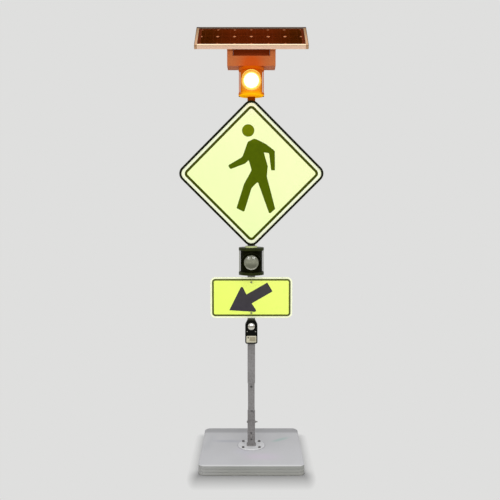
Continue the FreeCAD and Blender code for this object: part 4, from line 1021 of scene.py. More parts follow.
@dataclass(frozen=True)
class DomeFinish(Finish):
    """The unlit lens: clear plastic over ribs, its grey standing partly for the reflector seen through it,
    darker below its middle as painted shade, and bright at its foot as a painted reflection.
    """

    lens: Place
    colour: Rgb = (158, 160, 138)
    shade: Rgb = (112, 114, 94)
    foot: Rgb = (206, 206, 188)

    def draw(self, paint: Paint) -> None:
        """Draws the tone by height in the lens, with painted shade low in the middle and a painted reflection
        at the foot, and rings as a relief under a gloss.

        Args:
            paint: the new material.
        """
        halo = paint.shared(lamp_halo, Centre=self.lens, Reach=LENS_R)
        rise = halo["Rise"]
        share = paint.compute("DIVIDE", halo["Radius"], LENS_R)
        # Painted shade below the middle, and a painted reflection bright along the foot.
        dark = paint.masked(paint.step(rise, 0.15, -0.45), paint.step(share, 0.95, 0.75))
        foot = paint.masked(paint.step(rise, -0.55, -0.80), paint.step(share, 0.80, 0.92))
        rings = paint.compute("SINE", paint.masked(halo["Radius"], math.tau / OPTIC_PITCH))
        waves = paint.compute("MULTIPLY_ADD", rings, 0.5, 0.5)
        paint.put(Base_Color=paint.layered(self.colour, (dark, self.shade), (foot, self.foot)),
                  Transmission_Weight=0.3,
                  IOR=1.49,
                  Roughness=paint.varied(waves, 0.10, 0.16),
                  Normal=paint.relief(waves, 0.00002))


@dataclass(frozen=True)
class LampFinish(Finish):
    """The lit lens: white-hot, turning yellow at its edge."""

    lens: Place
    core: Rgb = (255, 255, 252)
    edge: Rgb = (255, 244, 150)
    core_r: float = 0.036
    strength: float = 2.2

    def draw(self, paint: Paint) -> None:
        """Draws the light by the distance from the lens's middle, with a faint ribbing.

        Args:
            paint: the new material.
        """
        radius = paint.shared(lamp_halo, Centre=self.lens, Reach=LENS_R)["Radius"]
        ribs = paint.noise(paint.place, 160.0, 2.0)
        colour = paint.layered(self.core, (paint.step(radius, self.core_r, LENS_R), self.edge))
        colour = paint.scaled(colour, ribs, 0.96, 1.04)
        paint.put(Base_Color=colour,
                  Emission_Color=colour,
                  Emission_Strength=self.strength,
                  Roughness=paint.varied(ribs, 0.15, 0.25))


@dataclass(frozen=True)
class PanelSpace:
    """The solar panel's own coordinates: u across, v up the slope, from the middle of its cells."""

    centre: Place
    tilt: float
    pitch: float = 0.1235

    def read(self, paint: Paint) -> tuple[Socket, Socket, Socket]:
        """Places on the panel.

        Args:
            paint: the new material.

        Returns:
            u, v and the height above the cells.
        """
        away = paint.vector("SUBTRACT", paint.place, self.centre)
        return paint.parts(paint.turned(away, "X_AXIS", -self.tilt))


@dataclass(frozen=True)
class CellFinish(Finish):
    """Dark crystalline cells with thin fingers and two busbars, their red-brown painted light on cells that are
    dark blue and black.
    """

    space: PanelSpace
    # Red-brown: painted light on the dark cells.
    colour: Rgb = (84, 27, 3)
    corner: Rgb = (62, 24, 0)
    bar: Rgb = (108, 50, 30)
    finger_pitch: float = 0.0026
    ends_span: Spot = (0.12, 0.36)

    def draw(self, paint: Paint) -> None:
        """Draws the crystal's tone, darker to the ends, the busbars and the fingers.

        Args:
            paint: the new material.
        """
        u, v, _ = self.space.read(paint)
        pitch = self.space.pitch
        ends = paint.step(paint.absolute(u), *self.ends_span)
        facet = paint.flakes(paint.join(u, v, 0.0), 85.0)
        colour = paint.scaled(paint.layered(self.colour, (ends, self.corner)), facet, 0.94, 1.03)
        local = paint.compute("SUBTRACT", paint.compute("WRAP", u, pitch, 0.0), pitch / 2)
        off_bar = paint.absolute(paint.compute("SUBTRACT", paint.absolute(local), pitch / 4))
        bar = paint.masked(paint.step(off_bar, 0.0011, 0.0007), 0.5)
        off_finger = paint.compute("PINGPONG", v, self.finger_pitch / 2)
        finger = paint.masked(paint.step(off_finger, 0.00022, 0.0001), 0.25)
        lines = paint.compute("MAXIMUM", bar, finger)
        paint.put(Base_Color=paint.layered(colour, (lines, self.bar)),
                  Roughness=paint.varied(lines, 0.5, 0.7),
                  Specular_IOR_Level=0.0,
                  Normal=paint.relief(lines, 0.00002))


@dataclass(frozen=True)
class BacksheetFinish(Finish):
    """The sheet behind the cells, a white sheet painted in reddish light and shade: pale where the cells' cut
    corners meet, dim elsewhere.
    """

    space: PanelSpace
    field: Spot = (0.3692, 0.1222)
    colour: Rgb = (90, 38, 18)
    gap: Rgb = (78, 30, 10)
    corner: Rgb = (180, 116, 80)

    def draw(self, paint: Paint) -> None:
        """Draws the margin, the gaps and the diamonds between the cut corners.

        Args:
            paint: the new material.
        """
        u, v, _ = self.space.read(paint)
        near = [paint.compute("PINGPONG", reach, self.space.pitch / 2) for reach in (u, v)]
        diamond = paint.step(paint.compute("ADD", *near), 0.0150, 0.0125)
        inside = paint.masked(*(paint.step(paint.absolute(reach), half, half - 0.001)
                                for reach, half in zip((u, v), self.field)))
        tone = paint.layered(self.gap, (diamond, self.corner))
        weave = paint.noise(paint.place, 500.0, 2.0)
        paint.put(Base_Color=paint.scaled(paint.layered(self.colour, (inside, tone)), weave, 0.96, 1.04),
                  Roughness=paint.varied(weave, 0.45, 0.65),
                  Specular_IOR_Level=0.0,
                  Normal=paint.relief(weave, 0.00003))


@dataclass(frozen=True)
class FrameFinish(Finish):
    """Anodised panel frame in painted light and shade: cream in front, where the light falls, tan at the sides
    and darker up them, dark at the top rail, whose inner wall is in shade, and at the outer edges.
    """

    space: PanelSpace
    half: Spot = (0.41225, 0.15725)
    lip: float = 0.020
    # Rail colours: painted light in front, painted shade at the sides and on the top rail.
    front: Rgb = (250, 218, 182)
    front_low: Rgb = (238, 202, 176)
    side: Rgb = (186, 146, 110)
    side_far: Rgb = (146, 114, 80)
    rear: Rgb = (62, 44, 34)
    line: Rgb = (74, 50, 34)

    def draw(self, paint: Paint) -> None:
        """Draws the tone of each rail, the dark outer lines, drawn lines and bright edges.

        Args:
            paint: the new material.
        """
        u, v, w = self.space.read(paint)
        across = paint.absolute(u)
        along = paint.absolute(v)
        end, top = (half - self.lip for half in self.half)
        # The sides in painted shade, darker up the slope.
        side = paint.layered(self.side, (paint.step(v, -0.10, 0.12), self.side_far))
        rim = paint.compute("MAXIMUM",
                            paint.step(across, self.half[0] - 0.0045, self.half[0] - 0.0030),
                            paint.step(along, self.half[1] - 0.0030, self.half[1] - 0.0018))
        upper = paint.step(w, -0.0015, 0.0)
        ends = paint.varied(paint.step(v, -0.1545, -0.1500), 0.4, 0.85)
        colour = paint.layered(self.front,
                               (paint.step(w, 0.001, -0.001), self.front_low),
                               (paint.step(across, end - 0.002, end + 0.002), side),
                               (paint.step(v, top - 0.002, top + 0.002), self.rear),
                               (paint.masked(rim, upper, ends), self.line))
        marks = paint.shared(grain, Stretch=(0.02, 1.0, 1.0), Fine_Scale=900.0, Broad_Scale=4.0)
        paint.put(Base_Color=paint.scaled(colour, marks["Broad"], 0.97, 1.02),
                  Metallic=paint.varied(marks["Fine"], 0.1, 0.2),
                  Roughness=paint.varied(marks["Fine"], 0.45, 0.6),
                  Specular_IOR_Level=0.15,
                  Normal=paint.relief(marks["Fine"], 0.00002, paint.rounded(0.0007)))


@dataclass(frozen=True)
class GuideFinish(Finish):
    """The bare guide plate: pale margin, a darker field at its right and a dark stud at upper left."""

    centre: Place
    colour: Rgb = (200, 195, 172)
    field: Rgb = (158, 150, 126)
    stud: Rgb = (40, 34, 22)
    field_at: Place = (0.009, 0.0, 0.001)
    field_half: Place = (0.0225, 0.0, 0.0165)
    field_corner: float = 0.003
    stud_at: Place = (-0.0235, 0.0, 0.0115)
    stud_span: Spot = (0.0058, 0.0050)

    def draw(self, paint: Paint) -> None:
        """Draws the field as a rounded rectangle, the stud as a disc, and brushed lines.

        Args:
            paint: the new material.
        """
        away = paint.vector("SUBTRACT", paint.place, self.centre)
        from_field = paint.vector("SUBTRACT", away, self.field_at)
        edge = paint.use(plate_margin, from_field, Half=self.field_half, Corner=self.field_corner)
        x, _, z = paint.parts(paint.vector("SUBTRACT", away, self.stud_at))
        radius = paint.vector("LENGTH", paint.join(x, 0.0, z))
        colour = paint.layered(self.colour,
                               (paint.step(edge["Distance"], 0.0006, -0.0006), self.field),
                               (paint.step(radius, *self.stud_span), self.stud))
        marks = paint.shared(grain, Stretch=(0.05, 1.0, 1.0), Fine_Scale=900.0, Broad_Scale=30.0)
        paint.put(Base_Color=paint.scaled(colour, marks["Broad"], 0.93, 1.04),
                  Metallic=paint.varied(marks["Fine"], 0.1, 0.2),
                  Roughness=paint.varied(marks["Fine"], 0.45, 0.65),
                  Specular_IOR_Level=0.2,
                  Normal=paint.relief(marks["Fine"], 0.00002, paint.rounded(0.0004)))


def zinc(slot: str, *bands: Band) -> Finish:
    """Zinc plating of screws and bolts.

    Args:
        slot: the finish's name.
        bands: what the plating turns into with height.

    Returns:
        The finish.
    """
    return MetalFinish(slot, (132, 130, 128), (78, 76, 75), roughness=0.42, metallic=0.6,
                       fine_scale=1400.0, bands=bands)


def fastener_zinc() -> Finish:
    """The plating of the large fasteners: dull at the floor, brighter at the plaque, warm up high, where the
    lamp's light is painted on.
    """
    return zinc("zinc_fastener", Band(0.15, (150, 148, 146), 0.4), Band(1.0, (142, 144, 108), 0.4),
                Band(2.64, (150, 84, 44), 0.1))


def galvanised() -> Finish:
    """Galvanised steel tube in painted lamplight: brown above the diamond, which is also the beacon's painted
    shade, and yellow and glowing under the beacon.

    Returns:
        The finish, with a painted dark spot at the mast's hole and a painted shadow along the socket's top rim.
    """
    # Painted lamplight and shade by height.
    lamplight = (Band(2.6400, (128, 56, 0)), Band(2.7260, (250, 170, 30), light=0.2))
    # Painted shade: a dark spot at the mast's hole, and a dark dash with a tail along the socket's top rim.
    marks = (Stroke((-0.0090, 0.5447), (0.0070, 0.5447), 0.0120, (58, 56, 56), 0.95),
             Stroke((-0.0060, 0.3555), (0.0120, 0.3555), 0.0090, (60, 58, 58), 0.9),
             Stroke((0.0120, 0.3555), (0.0180, 0.3400), 0.0060, (84, 82, 82), 0.7))
    return MetalFinish("galvanised_steel", (154, 152, 152), (124, 121, 120), roughness=0.5,
                       metallic=0.4, spangle=120.0, stretch=(1.0, 1.0, 0.05), fine_scale=700.0,
                       bands=lamplight, strokes=marks)


def mill_aluminium() -> Finish:
    """Rolled aluminium sheet of the blanks and rails."""
    return MetalFinish("sign_aluminium", (196, 197, 200), (168, 169, 172), roughness=0.42,
                       metallic=0.7, stretch=(0.02, 1.0, 1.0), fine_scale=900.0)


def dark_plastic() -> Finish:
    """Dark moulded plastic of the switch and the junction box."""
    return MouldedFinish("switch_body", (58, 58, 56), (48, 48, 46), (90, 90, 88))


@dataclass(frozen=True)
class Patch:
    """A grid of points, rows by columns, that becomes one stretch of surface."""

    points: np.ndarray
    closed: bool = False

    def faces(self, first: int) -> np.ndarray:
        """Quads between neighbouring points, and from the last column to the first if it is closed.

        Args:
            first: the number of this patch's first point in the mesh.

        Returns:
            Four point numbers a face.
        """
        rows, columns, _ = self.points.shape
        i = np.arange(rows - 1)[:, None]
        j = np.arange(columns if self.closed else columns - 1)[None, :]
        right = (j + 1) % columns
        corners = [i * columns + j, i * columns + right, (i + 1) * columns + right, (i + 1) * columns + j]
        return np.stack(np.broadcast_arrays(*corners), axis=-1).reshape(-1, 4) + first


def shown(name: str, data: bpy.types.ID) -> bpy.types.Object:
    """Puts a mesh, a lamp or a camera into the scene.

    Args:
        name: the new object's name.
        data: what it shows.

    Returns:
        The object, at the origin.
    """
    made = bpy.data.objects.new(name, data)
    bpy.context.scene.collection.objects.link(made)
    return made


def piece(name: str, patches: list[Patch], finish: Finish, sharp: float,
          facing: Place | None = None) -> bpy.types.Object:
    """Makes one piece from its patches, welds their seams and turns its faces outwards.

    Args:
        name: the piece's name.
        patches: its stretches of surface.
        finish: its finish.
        sharp: the angle in degrees above which an edge stays sharp.
        facing: the side that an open surface looks to, where it has one side.

    Returns:
        The new object, at the origin.
    """
    points = np.concatenate([p.points.reshape(-1, 3) for p in patches])
    starts = np.cumsum([0] + [p.points.shape[0] * p.points.shape[1] for p in patches])
    faces = np.concatenate([p.faces(int(start)) for p, start in zip(patches, starts)])
    mesh = bpy.data.meshes.new(name)
    mesh.from_pydata(points.tolist(), [], faces.tolist())
    work = bmesh.new()
    work.from_mesh(mesh)
    bmesh.ops.remove_doubles(work, verts=work.verts, dist=1e-6)
    bmesh.ops.dissolve_degenerate(work, edges=work.edges, dist=1e-7)
    bmesh.ops.recalc_face_normals(work, faces=work.faces)
    if facing is not None:
        total = sum((face.normal * face.calc_area() for face in work.faces), Vector())
        if total.dot(Vector(facing)) < 0.0:
            bmesh.ops.reverse_faces(work, faces=work.faces)
    work.to_mesh(mesh)
    work.free()
    mesh.polygons.foreach_set("use_smooth", np.ones(len(mesh.polygons), bool))
    mesh.set_sharp_from_angle(angle=math.radians(sharp))
    mesh.materials.append(finish.material())
    made = shown(name, mesh)
    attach(made, FIXED_BODY)
    log.info("piece %s: %d faces", name, len(mesh.polygons))
    return made


@dataclass(frozen=True)
class Extent:
    """The box of one solid of a node."""

    low: np.ndarray
    high: np.ndarray

    @property
    def centre(self) -> np.ndarray:
        """The box's middle."""
        return (self.low + self.high) / 2

    @property
    def size(self) -> np.ndarray:
        """The box's three sides."""
        return self.high - self.low


def solids_of(node: str, frame: dict) -> list[Extent]:
    """The boxes of a node's separate solids.

    Formula: corners at the same place get one number, and each triangle passes the lowest number
    of its corners to all three until nothing changes, so that every solid ends with one number.

    Args:
        node: the CAD node.

    Returns:
        One box a solid, from the lowest number up.
    """
    mesh = frame["nodes"][node].data
    places = np.zeros(len(mesh.vertices) * 3)
    mesh.vertices.foreach_get("co", places)
    places = places.reshape(-1, 3)
    mesh.calc_loop_triangles()
    corners = np.zeros(len(mesh.loop_triangles) * 3, int)
    mesh.loop_triangles.foreach_get("vertices", corners)
    _, same = np.unique(np.round(places, 6), axis=0, return_inverse=True)
    triangles = same.reshape(-1)[corners].reshape(-1, 3)
    label = np.arange(same.max() + 1)
    while True:
        lowest = label[triangles].min(axis=1)
        after = label.copy()
        np.minimum.at(after, triangles.reshape(-1), np.repeat(lowest, 3))
        if np.array_equal(after, label):
            break
        label = after
    owner = label[same.reshape(-1)]
    groups = [places[owner == number] for number in np.unique(owner)]
    return [Extent(group.min(axis=0), group.max(axis=0)) for group in groups]


@dataclass
class Unit:
    """A sub-assembly: it dresses its CAD nodes and builds the details that they leave out."""

    frame: dict

    def finishes(self) -> dict[str, Finish]:
        """The finish of each CAD node of the unit."""
        raise NotImplementedError

    def details(self) -> list[bpy.types.Object]:
        """Builds the unit's extra pieces, if it has any."""
        return []

    def make(self) -> None:
        """Dresses the nodes, builds the details and reports both."""
        for node, finish in self.finishes().items():
            materials = self.frame["nodes"][node].data.materials
            for index in range(len(materials)):
                materials[index] = finish.material()
            log.info("dressed %s in %s", node, finish.slot)
        made = self.details()
        log.info("%s: %d detail pieces", type(self).__name__, len(made))


@dataclass
class Footing(Unit):
    """The ballast slab, the floor flange and the mast with its weld and through bolts."""

    face_depth: float = 0.0012
    weld_reach: float = 0.0070
    weld_rise: float = 1.05
    squareness: float = 9.0
    ripple_pitch: float = 0.0032
    ripple_height: float = 0.0004
    bolt_r: float = 0.00475
    thread_pitch: float = 0.0015
    thread_depth: float = 0.00035
    tail_end: float = 0.0002

    def finishes(self) -> dict[str, Finish]:
        """Slab, flange, bolts and tubes.

        Returns:
            A finish for each node.
        """
        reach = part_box("floor_flange")[1]
        # The flange's side is painted near white, a painted highlight along its front edge; above its top
        # face's level it is grey like the slab.
        face = (Band(reach.z - self.face_depth, (188, 188, 191), 0.3),)
        flange = MetalFinish("cast_flange", (232, 232, 232), (222, 222, 222), roughness=0.5,
                             metallic=0.1, rounding=0.0012, bands=face)
        return {
            "ballast_slab": BallastFinish("ballast_rubber", flange_shadow_r=reach.x),
            "floor_flange": flange,
            **dict.fromkeys(("flange_bolts", "flange_nuts", "post_bolts", "post_nuts"), fastener_zinc()),
            **dict.fromkeys(("socket_tube", "inner_mast", "upper_post"), galvanised()),
        }

    def details(self) -> list[bpy.types.Object]:
        """The rippled weld bead and the threads of the bolt tails."""
        return [self.weld_bead(), self.bolt_threads()]

    def weld_bead(self) -> bpy.types.Object:
        """The bead round the socket's foot.

        Formula: the path is a rounded square round the tube. The section turns a quarter from the
        flange up to the tube, its radius swelling with the sine of the path's length over the pitch.

        Returns:
            The piece.
        """
        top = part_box("floor_flange")[1].z
        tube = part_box("upper_post")[1].x
        angle = np.linspace(0.0, math.tau, 720, endpoint=False)
        direction = np.stack([np.cos(angle), np.sin(angle)], axis=1)
        corners = (np.abs(direction) ** self.squareness).sum(axis=1, keepdims=True)
        path = direction * tube / corners ** (1 / self.squareness)
        length = np.cumsum(np.linalg.norm(path - np.roll(path, 1, axis=0), axis=1))
        swell = self.weld_reach + self.ripple_height * np.sin(math.tau * length / self.ripple_pitch)
        turn = np.linspace(0.0, math.pi / 2, 9)[:, None]
        out = np.cos(turn) * swell
        up = np.sin(turn) * swell * self.weld_rise
        normal = np.stack([np.gradient(path[:, 1]), -np.gradient(path[:, 0])], axis=1)
        normal /= np.linalg.norm(normal, axis=1)[:, None]
        flat = path[None, :, :] + normal[None, :, :] * out[:, :, None]
        points = np.concatenate([flat, (top + up)[:, :, None]], axis=2)
        return piece("socket_weld_bead", [Patch(points, closed=True)], galvanised(), 60.0)

    def bolt_threads(self) -> bpy.types.Object:
        """Threads on the tails of the through bolts, past their nuts.

        Formula: the radius is the bolt's plus the depth times a triangle wave of the place along
        the bolt over the pitch plus the angle over a full turn.

        Returns:
            One piece with all the threads.
        """
        nuts = solids_of("post_nuts", self.frame)
        patches = []
        for bolt in solids_of("post_bolts", self.frame):
            axis = int(np.argmax(bolt.size))
            first, second = (i for i in range(3) if i != axis)
            nut = min(nuts, key=lambda n: float(np.linalg.norm(n.centre - bolt.centre)))
            start = nut.high[axis]
            stop = bolt.high[axis] - self.tail_end
            along = np.linspace(start, stop, max(8, int((stop - start) / self.thread_pitch * 8)))[:, None]
            around = np.linspace(0.0, math.tau, 33)[None, :]
            phase = (along / self.thread_pitch + around / math.tau) % 1.0
            swell = self.bolt_r + self.thread_depth * (1.0 - np.abs(2.0 * phase - 1.0))
            points = np.zeros(phase.shape + (3,))
            points[..., axis] = along
            points[..., first] = bolt.centre[first] + swell * np.cos(around)
            points[..., second] = bolt.centre[second] + swell * np.sin(around)
            patches.append(Patch(points))
        return piece("bolt_tail_threads", patches, fastener_zinc(), 50.0)


@dataclass
class ArrowPlaque(Unit):
    """The rectangular plaque with the down-left arrow."""

    margin: float = 0.012
    border: float = 0.014
    corner: float = 0.038

    def finishes(self) -> dict[str, Finish]:
        """Blank, film, border and arrow.

        Returns:
            A finish for each node.
        """
        low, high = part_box("plaque_sheeting")
        inset = self.margin + self.border / 2
        half = ((high.x - low.x) / 2 - inset, (high.z - low.z) / 2 - inset)
        span = (low.z, high.z)
        film = FilmFinish("plaque_film", (236, 255, 112), (239, 255, 122), (248, 252, 214),
                          Outline.RECTANGLE, tuple((low + high) / 2), half, self.corner - inset,
                          fluorescence=0.07)
        return {
            "plaque_blank": mill_aluminium(),
            "plaque_sheeting": film,
            "plaque_border": LegendFinish("plaque_border_legend", (90, 97, 45), (98, 104, 52), span),
            "plaque_arrow": LegendFinish("plaque_legend", (68, 64, 71), (70, 68, 68), span),
        }


@dataclass
class DiamondSign(Unit):
    """The diamond warning sign with the walking figure, its edge frame, rails and straps."""

    side: float = 0.762
    margin: float = 0.021
    border: float = 0.01905
    border_corner: float = 0.034
    lamp_rise: float = 0.05
    light_head: Spot = (0.15, 0.05)

    def finishes(self) -> dict[str, Finish]:
        """Blank, film, border, figure, edge frame, rails and straps.

        Returns:
            A finish for each node.
        """
        low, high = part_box("warning_sign_sheeting")
        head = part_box("walking_figure")[1].z
        half = self.side / 2 - self.margin - self.border / 2
        film = FilmFinish("sign_film", (238, 255, 180), (245, 250, 190), (243, 248, 214),
                          Outline.DIAMOND, tuple((low + high) / 2), (half, half),
                          self.border_corner - self.border / 2, lamp_z=high.z + self.lamp_rise)
        border = LegendFinish("sign_border_legend", (64, 76, 0), (72, 76, 8), (low.z, high.z))
        figure = LegendFinish("sign_legend", (80, 97, 0), (112, 124, 0),
                              tuple(head - drop for drop in self.light_head))
        rim = MouldedFinish("rim_black", (28, 30, 10), (20, 22, 6), (46, 48, 28), gloss=0.02,
                            dustiness=0.03)
        return {
            "warning_sign_sheeting": film,
            "warning_sign_border": border,
            "walking_figure": figure,
            "warning_sign_rim": rim,
            "sign_straps": galvanised(),
            **dict.fromkeys(("warning_sign_blank", "lower_sign_rail", "upper_sign_rail"), mill_aluminium()),
        }


@dataclass
class Beacon(Unit):
    """A round beacon. Its prefix says which one, and lit whether its lamp is on."""

    prefix: str
    lit: bool
    optic_r: float = 0.050
    optic_depth: float = 0.0009
    optic_gap: float = 0.0006
    spokes: int = 40
    wall: float = 0.0025
    dome_h: float = 0.009

    @property
    def lens_centre(self) -> Place:
        """The middle of the lens, at its front."""
        low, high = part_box(self.prefix + "_lens")
        return ((low.x + high.x) / 2, low.y, (low.z + high.z) / 2)

    def lens(self) -> Finish:
        """The finish of the lens and of the optic behind it."""
        kind, slot = (LampFinish, "lens_lit") if self.lit else (DomeFinish, "lens_clear")
        return kind(slot, self.lens_centre)

    def finishes(self) -> dict[str, Finish]:
        """Housing, caps, bezel, lens, reflector and board.

        Returns:
            A finish for each node.
        """
        if self.lit:
            shell = AmberFinish("beacon_amber", self.lens_centre)
            caps = shell
        else:
            shell = MouldedFinish("beacon_black", (22, 24, 6), (9, 10, 0), (40, 42, 24), roughness=0.4,
                                  gloss=0.02, dustiness=0.02)
            caps = MouldedFinish("beacon_black_caps", (48, 54, 14), (32, 37, 5), (72, 78, 44),
                                 roughness=0.45, gloss=0.1, dustiness=0.05)
        parts = {
            "drum": shell,
            "bezel": shell,
            "top_cap": caps,
            "bottom_cap": caps,
            "lens": self.lens(),
            "reflector": MetalFinish("reflector_bright", (226, 226, 218), (196, 196, 188),
                                     roughness=0.24, metallic=0.9),
            "led_board": MouldedFinish("led_board", (214, 206, 150), (190, 184, 130), (230, 224, 180)),
        }
        return {f"{self.prefix}_{part}": finish for part, finish in parts.items()}

    def details(self) -> list[bpy.types.Object]:
        """The ribbed optic right behind the lens.

        Formula: it follows the dome, r squared over twice its radius of curvature, with a saw of the
        radius over the pitch and the absolute sine of the angle times half the spokes, which fades
        to nothing over the first pitch, so that the middle closes.

        Returns:
            The optic.
        """
        centre = self.lens_centre
        curve = (LENS_R ** 2 + self.dome_h ** 2) / (2 * self.dome_h)
        radius = np.linspace(0.0, self.optic_r, 71)[:, None]
        angle = np.linspace(0.0, math.tau, 241)[None, :]
        saw = (radius / OPTIC_PITCH) % 1.0
        spoke = np.abs(np.sin(angle * self.spokes / 2)) * np.minimum(radius / OPTIC_PITCH, 1.0)
        dome = radius ** 2 / (2 * curve) + self.optic_depth * (saw + 0.5 * spoke)
        x = centre[0] + radius * np.cos(angle)
        y = centre[1] + self.wall + self.optic_gap + dome
        z = centre[2] + radius * np.sin(angle)
        points = np.stack([x, y, z], axis=-1)
        return [piece(self.prefix + "_optic", [Patch(points)], self.lens(), 60.0, facing=FORWARD)]


@dataclass
class SmallParts(Unit):
    """Seals, tie rods, screws and the pale collar that the beacons share."""

    def finishes(self) -> dict[str, Finish]:
        """Seals, rods, screws and collar. The upper beacon's lamp colours its rods and screws, as painted
        lamplight.

        Returns:
            A finish for each node.
        """
        # Rods: dark brown at the upper beacon's foot, then painted lamplight, orange and glowing.
        rods = MetalFinish("zinc_rod", (176, 176, 160), (140, 140, 124), roughness=0.34,
                           metallic=0.6, fine_scale=1400.0,
                           bands=(Band(2.70, (60, 30, 8)), Band(2.7387, (204, 112, 4), light=0.1)))
        # Screws: olive-grey at the plaque, near black from the lower beacon up, then painted lamplight, orange
        # and glowing, at the upper beacon.
        screws = zinc("beacon_screw", Band(1.0, (142, 144, 108), 0.4), Band(1.45, (14, 15, 6)),
                      Band(2.64, (235, 150, 24), light=0.4))
        return {
            "lens_gaskets": MouldedFinish("seal_rubber", (34, 33, 30), (26, 25, 23), (60, 58, 54),
                                          roughness=0.7),
            "tie_rods": rods,
            "small_screws": screws,
            # The collar's lime is a painted reflection of the sign's film.
            "post_collar": MouldedFinish("collar_lime", (228, 238, 170), (216, 228, 154),
                                         (240, 246, 200), dustiness=0.05),
        }


@dataclass
class ButtonStation(Unit):
    """The push-button station."""

    # Heights of the painted reflection's bands on the button, from its middle.
    button_sheen_bands: Spot = (-0.006, 0.004)
    spring_turns: float = 4.0
    wire_r: float = 0.0006
    travel: float = 0.0030

    def finishes(self) -> dict[str, Finish]:
        """Housing, back plate, guide plate, button, switch and screws.

        Returns:
            A finish for each node.
        """
        low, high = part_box("guide_plate")
        button_low, button_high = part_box("push_button")
        middle = (button_low.z + button_high.z) / 2
        # Painted reflection on the domed button: a darker band across its middle and a bright band above it.
        sheen_and_wear = (Band(middle + self.button_sheen_bands[0], (150, 144, 130), 0.8),
                Band(middle + self.button_sheen_bands[1], (232, 230, 220), 0.9))
        black = MouldedFinish("station_black", (9, 9, 5), (4, 4, 1), (40, 40, 34), roughness=0.45,
                              gloss=0.08, dustiness=0.03)
        return {
            "button_housing": black,
            "button_back_plate": black,
            "guide_plate": GuideFinish("guide_face", tuple((low + high) / 2)),
            "push_button": MetalFinish("button_steel", (222, 220, 208), (200, 198, 188), roughness=0.25,
                                       metallic=0.9, fine_scale=1500.0, rounding=0.0008, bands=sheen_and_wear),
            "button_switch": dark_plastic(),
            "station_screws": MetalFinish("station_screw_zinc", (196, 194, 184), (160, 158, 150),
                                          roughness=0.3, metallic=0.85),
        }

    def details(self) -> list[bpy.types.Object]:
        """The spring between the button and its switch, which the button squeezes.

        Formula: rings of the wire's radius w about a helix of radius R. At the turn a, with b round the
        wire, (R + w cos b) is the reach across, and w sin b is added to the helix's place along its axis.

        Returns:
            The spring.
        """
        low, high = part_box("button_spring")
        middle = (low + high) / 2
        length = high.y - low.y
        share = np.concatenate([[0.0], np.linspace(0.0, 1.0, 97), [1.0]])[:, None]
        wire = np.full(share.shape, self.wire_r)
        wire[[0, -1]] = 0.0
        turn = math.tau * self.spring_turns * share
        around = np.linspace(0.0, math.tau, 9)[None, :]
        reach = (high.x - low.x) / 2 - self.wire_r + wire * np.cos(around)
        y = low.y + self.wire_r + share * (length - 2 * self.wire_r) + wire * np.sin(around)
        points = np.stack([middle.x + reach * np.cos(turn), y, middle.z + reach * np.sin(turn)], axis=-1)
        steel = MetalFinish("spring_steel", (170, 168, 160), (130, 128, 122), roughness=0.3)
        spring = piece("button_spring_coil", [Patch(points)], steel, 60.0)
        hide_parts("button_spring")
        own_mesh(spring)
        return [spring]


@dataclass
class PowerHead(Unit):
    """The power box, the panel's stand and the solar panel."""

    tilt: float = math.radians(38.0)
    lamp_rise: float = 0.012

    def finishes(self) -> dict[str, Finish]:
        """Box, lid, cheeks, contents, panel frame, laminate and junction box.

        Returns:
            A finish for each node.
        """
        lamp = (0.0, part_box("upper_beacon_lens")[0].y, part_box("upper_beacon_top_cap")[1].z + self.lamp_rise)
        low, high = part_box("solar_cells")
        space = PanelSpace(tuple((low + high) / 2), self.tilt)
        painted = ("power_box", "box_lid", "left_cheek", "right_cheek", "rear_panel")
        battery = MouldedFinish("battery_case", (52, 54, 58), (42, 44, 48), (84, 86, 90))
        controller = MouldedFinish("controller_case", (70, 74, 80), (60, 64, 70), (104, 108, 114))
        return {
            **dict.fromkeys(painted, HousingFinish("housing_paint", lamp)),
            "post_saddle": galvanised(),
            "bracket_bolts": fastener_zinc(),
            "battery_pack": battery,
            "charge_controller": controller,
            "panel_frame": FrameFinish("frame_aluminium", space),
            "solar_glass": GlassFinish("solar_glass"),
            "solar_cells": CellFinish("solar_cell", space),
            "panel_backsheet": BacksheetFinish("backsheet_white", space),
            "junction_box": dark_plastic(),
        }


@dataclass(frozen=True)
class Softbox:
    """A square soft lamp: its place, what it points at, its side and its power in watts."""

    name: str
    place: Place
    aim: Place
    side: float
    power: float

    def hang(self) -> None:
        """Hangs the lamp."""
        data = bpy.data.lights.new(self.name, "AREA")
        data.shape = "SQUARE"
        data.size = self.side
        data.energy = self.power
        lamp = shown(self.name, data)
        lamp.location = self.place
        lamp.rotation_mode = "QUATERNION"
        lamp.rotation_quaternion = (Vector(self.aim) - Vector(self.place)).to_track_quat("-Z", "Y")


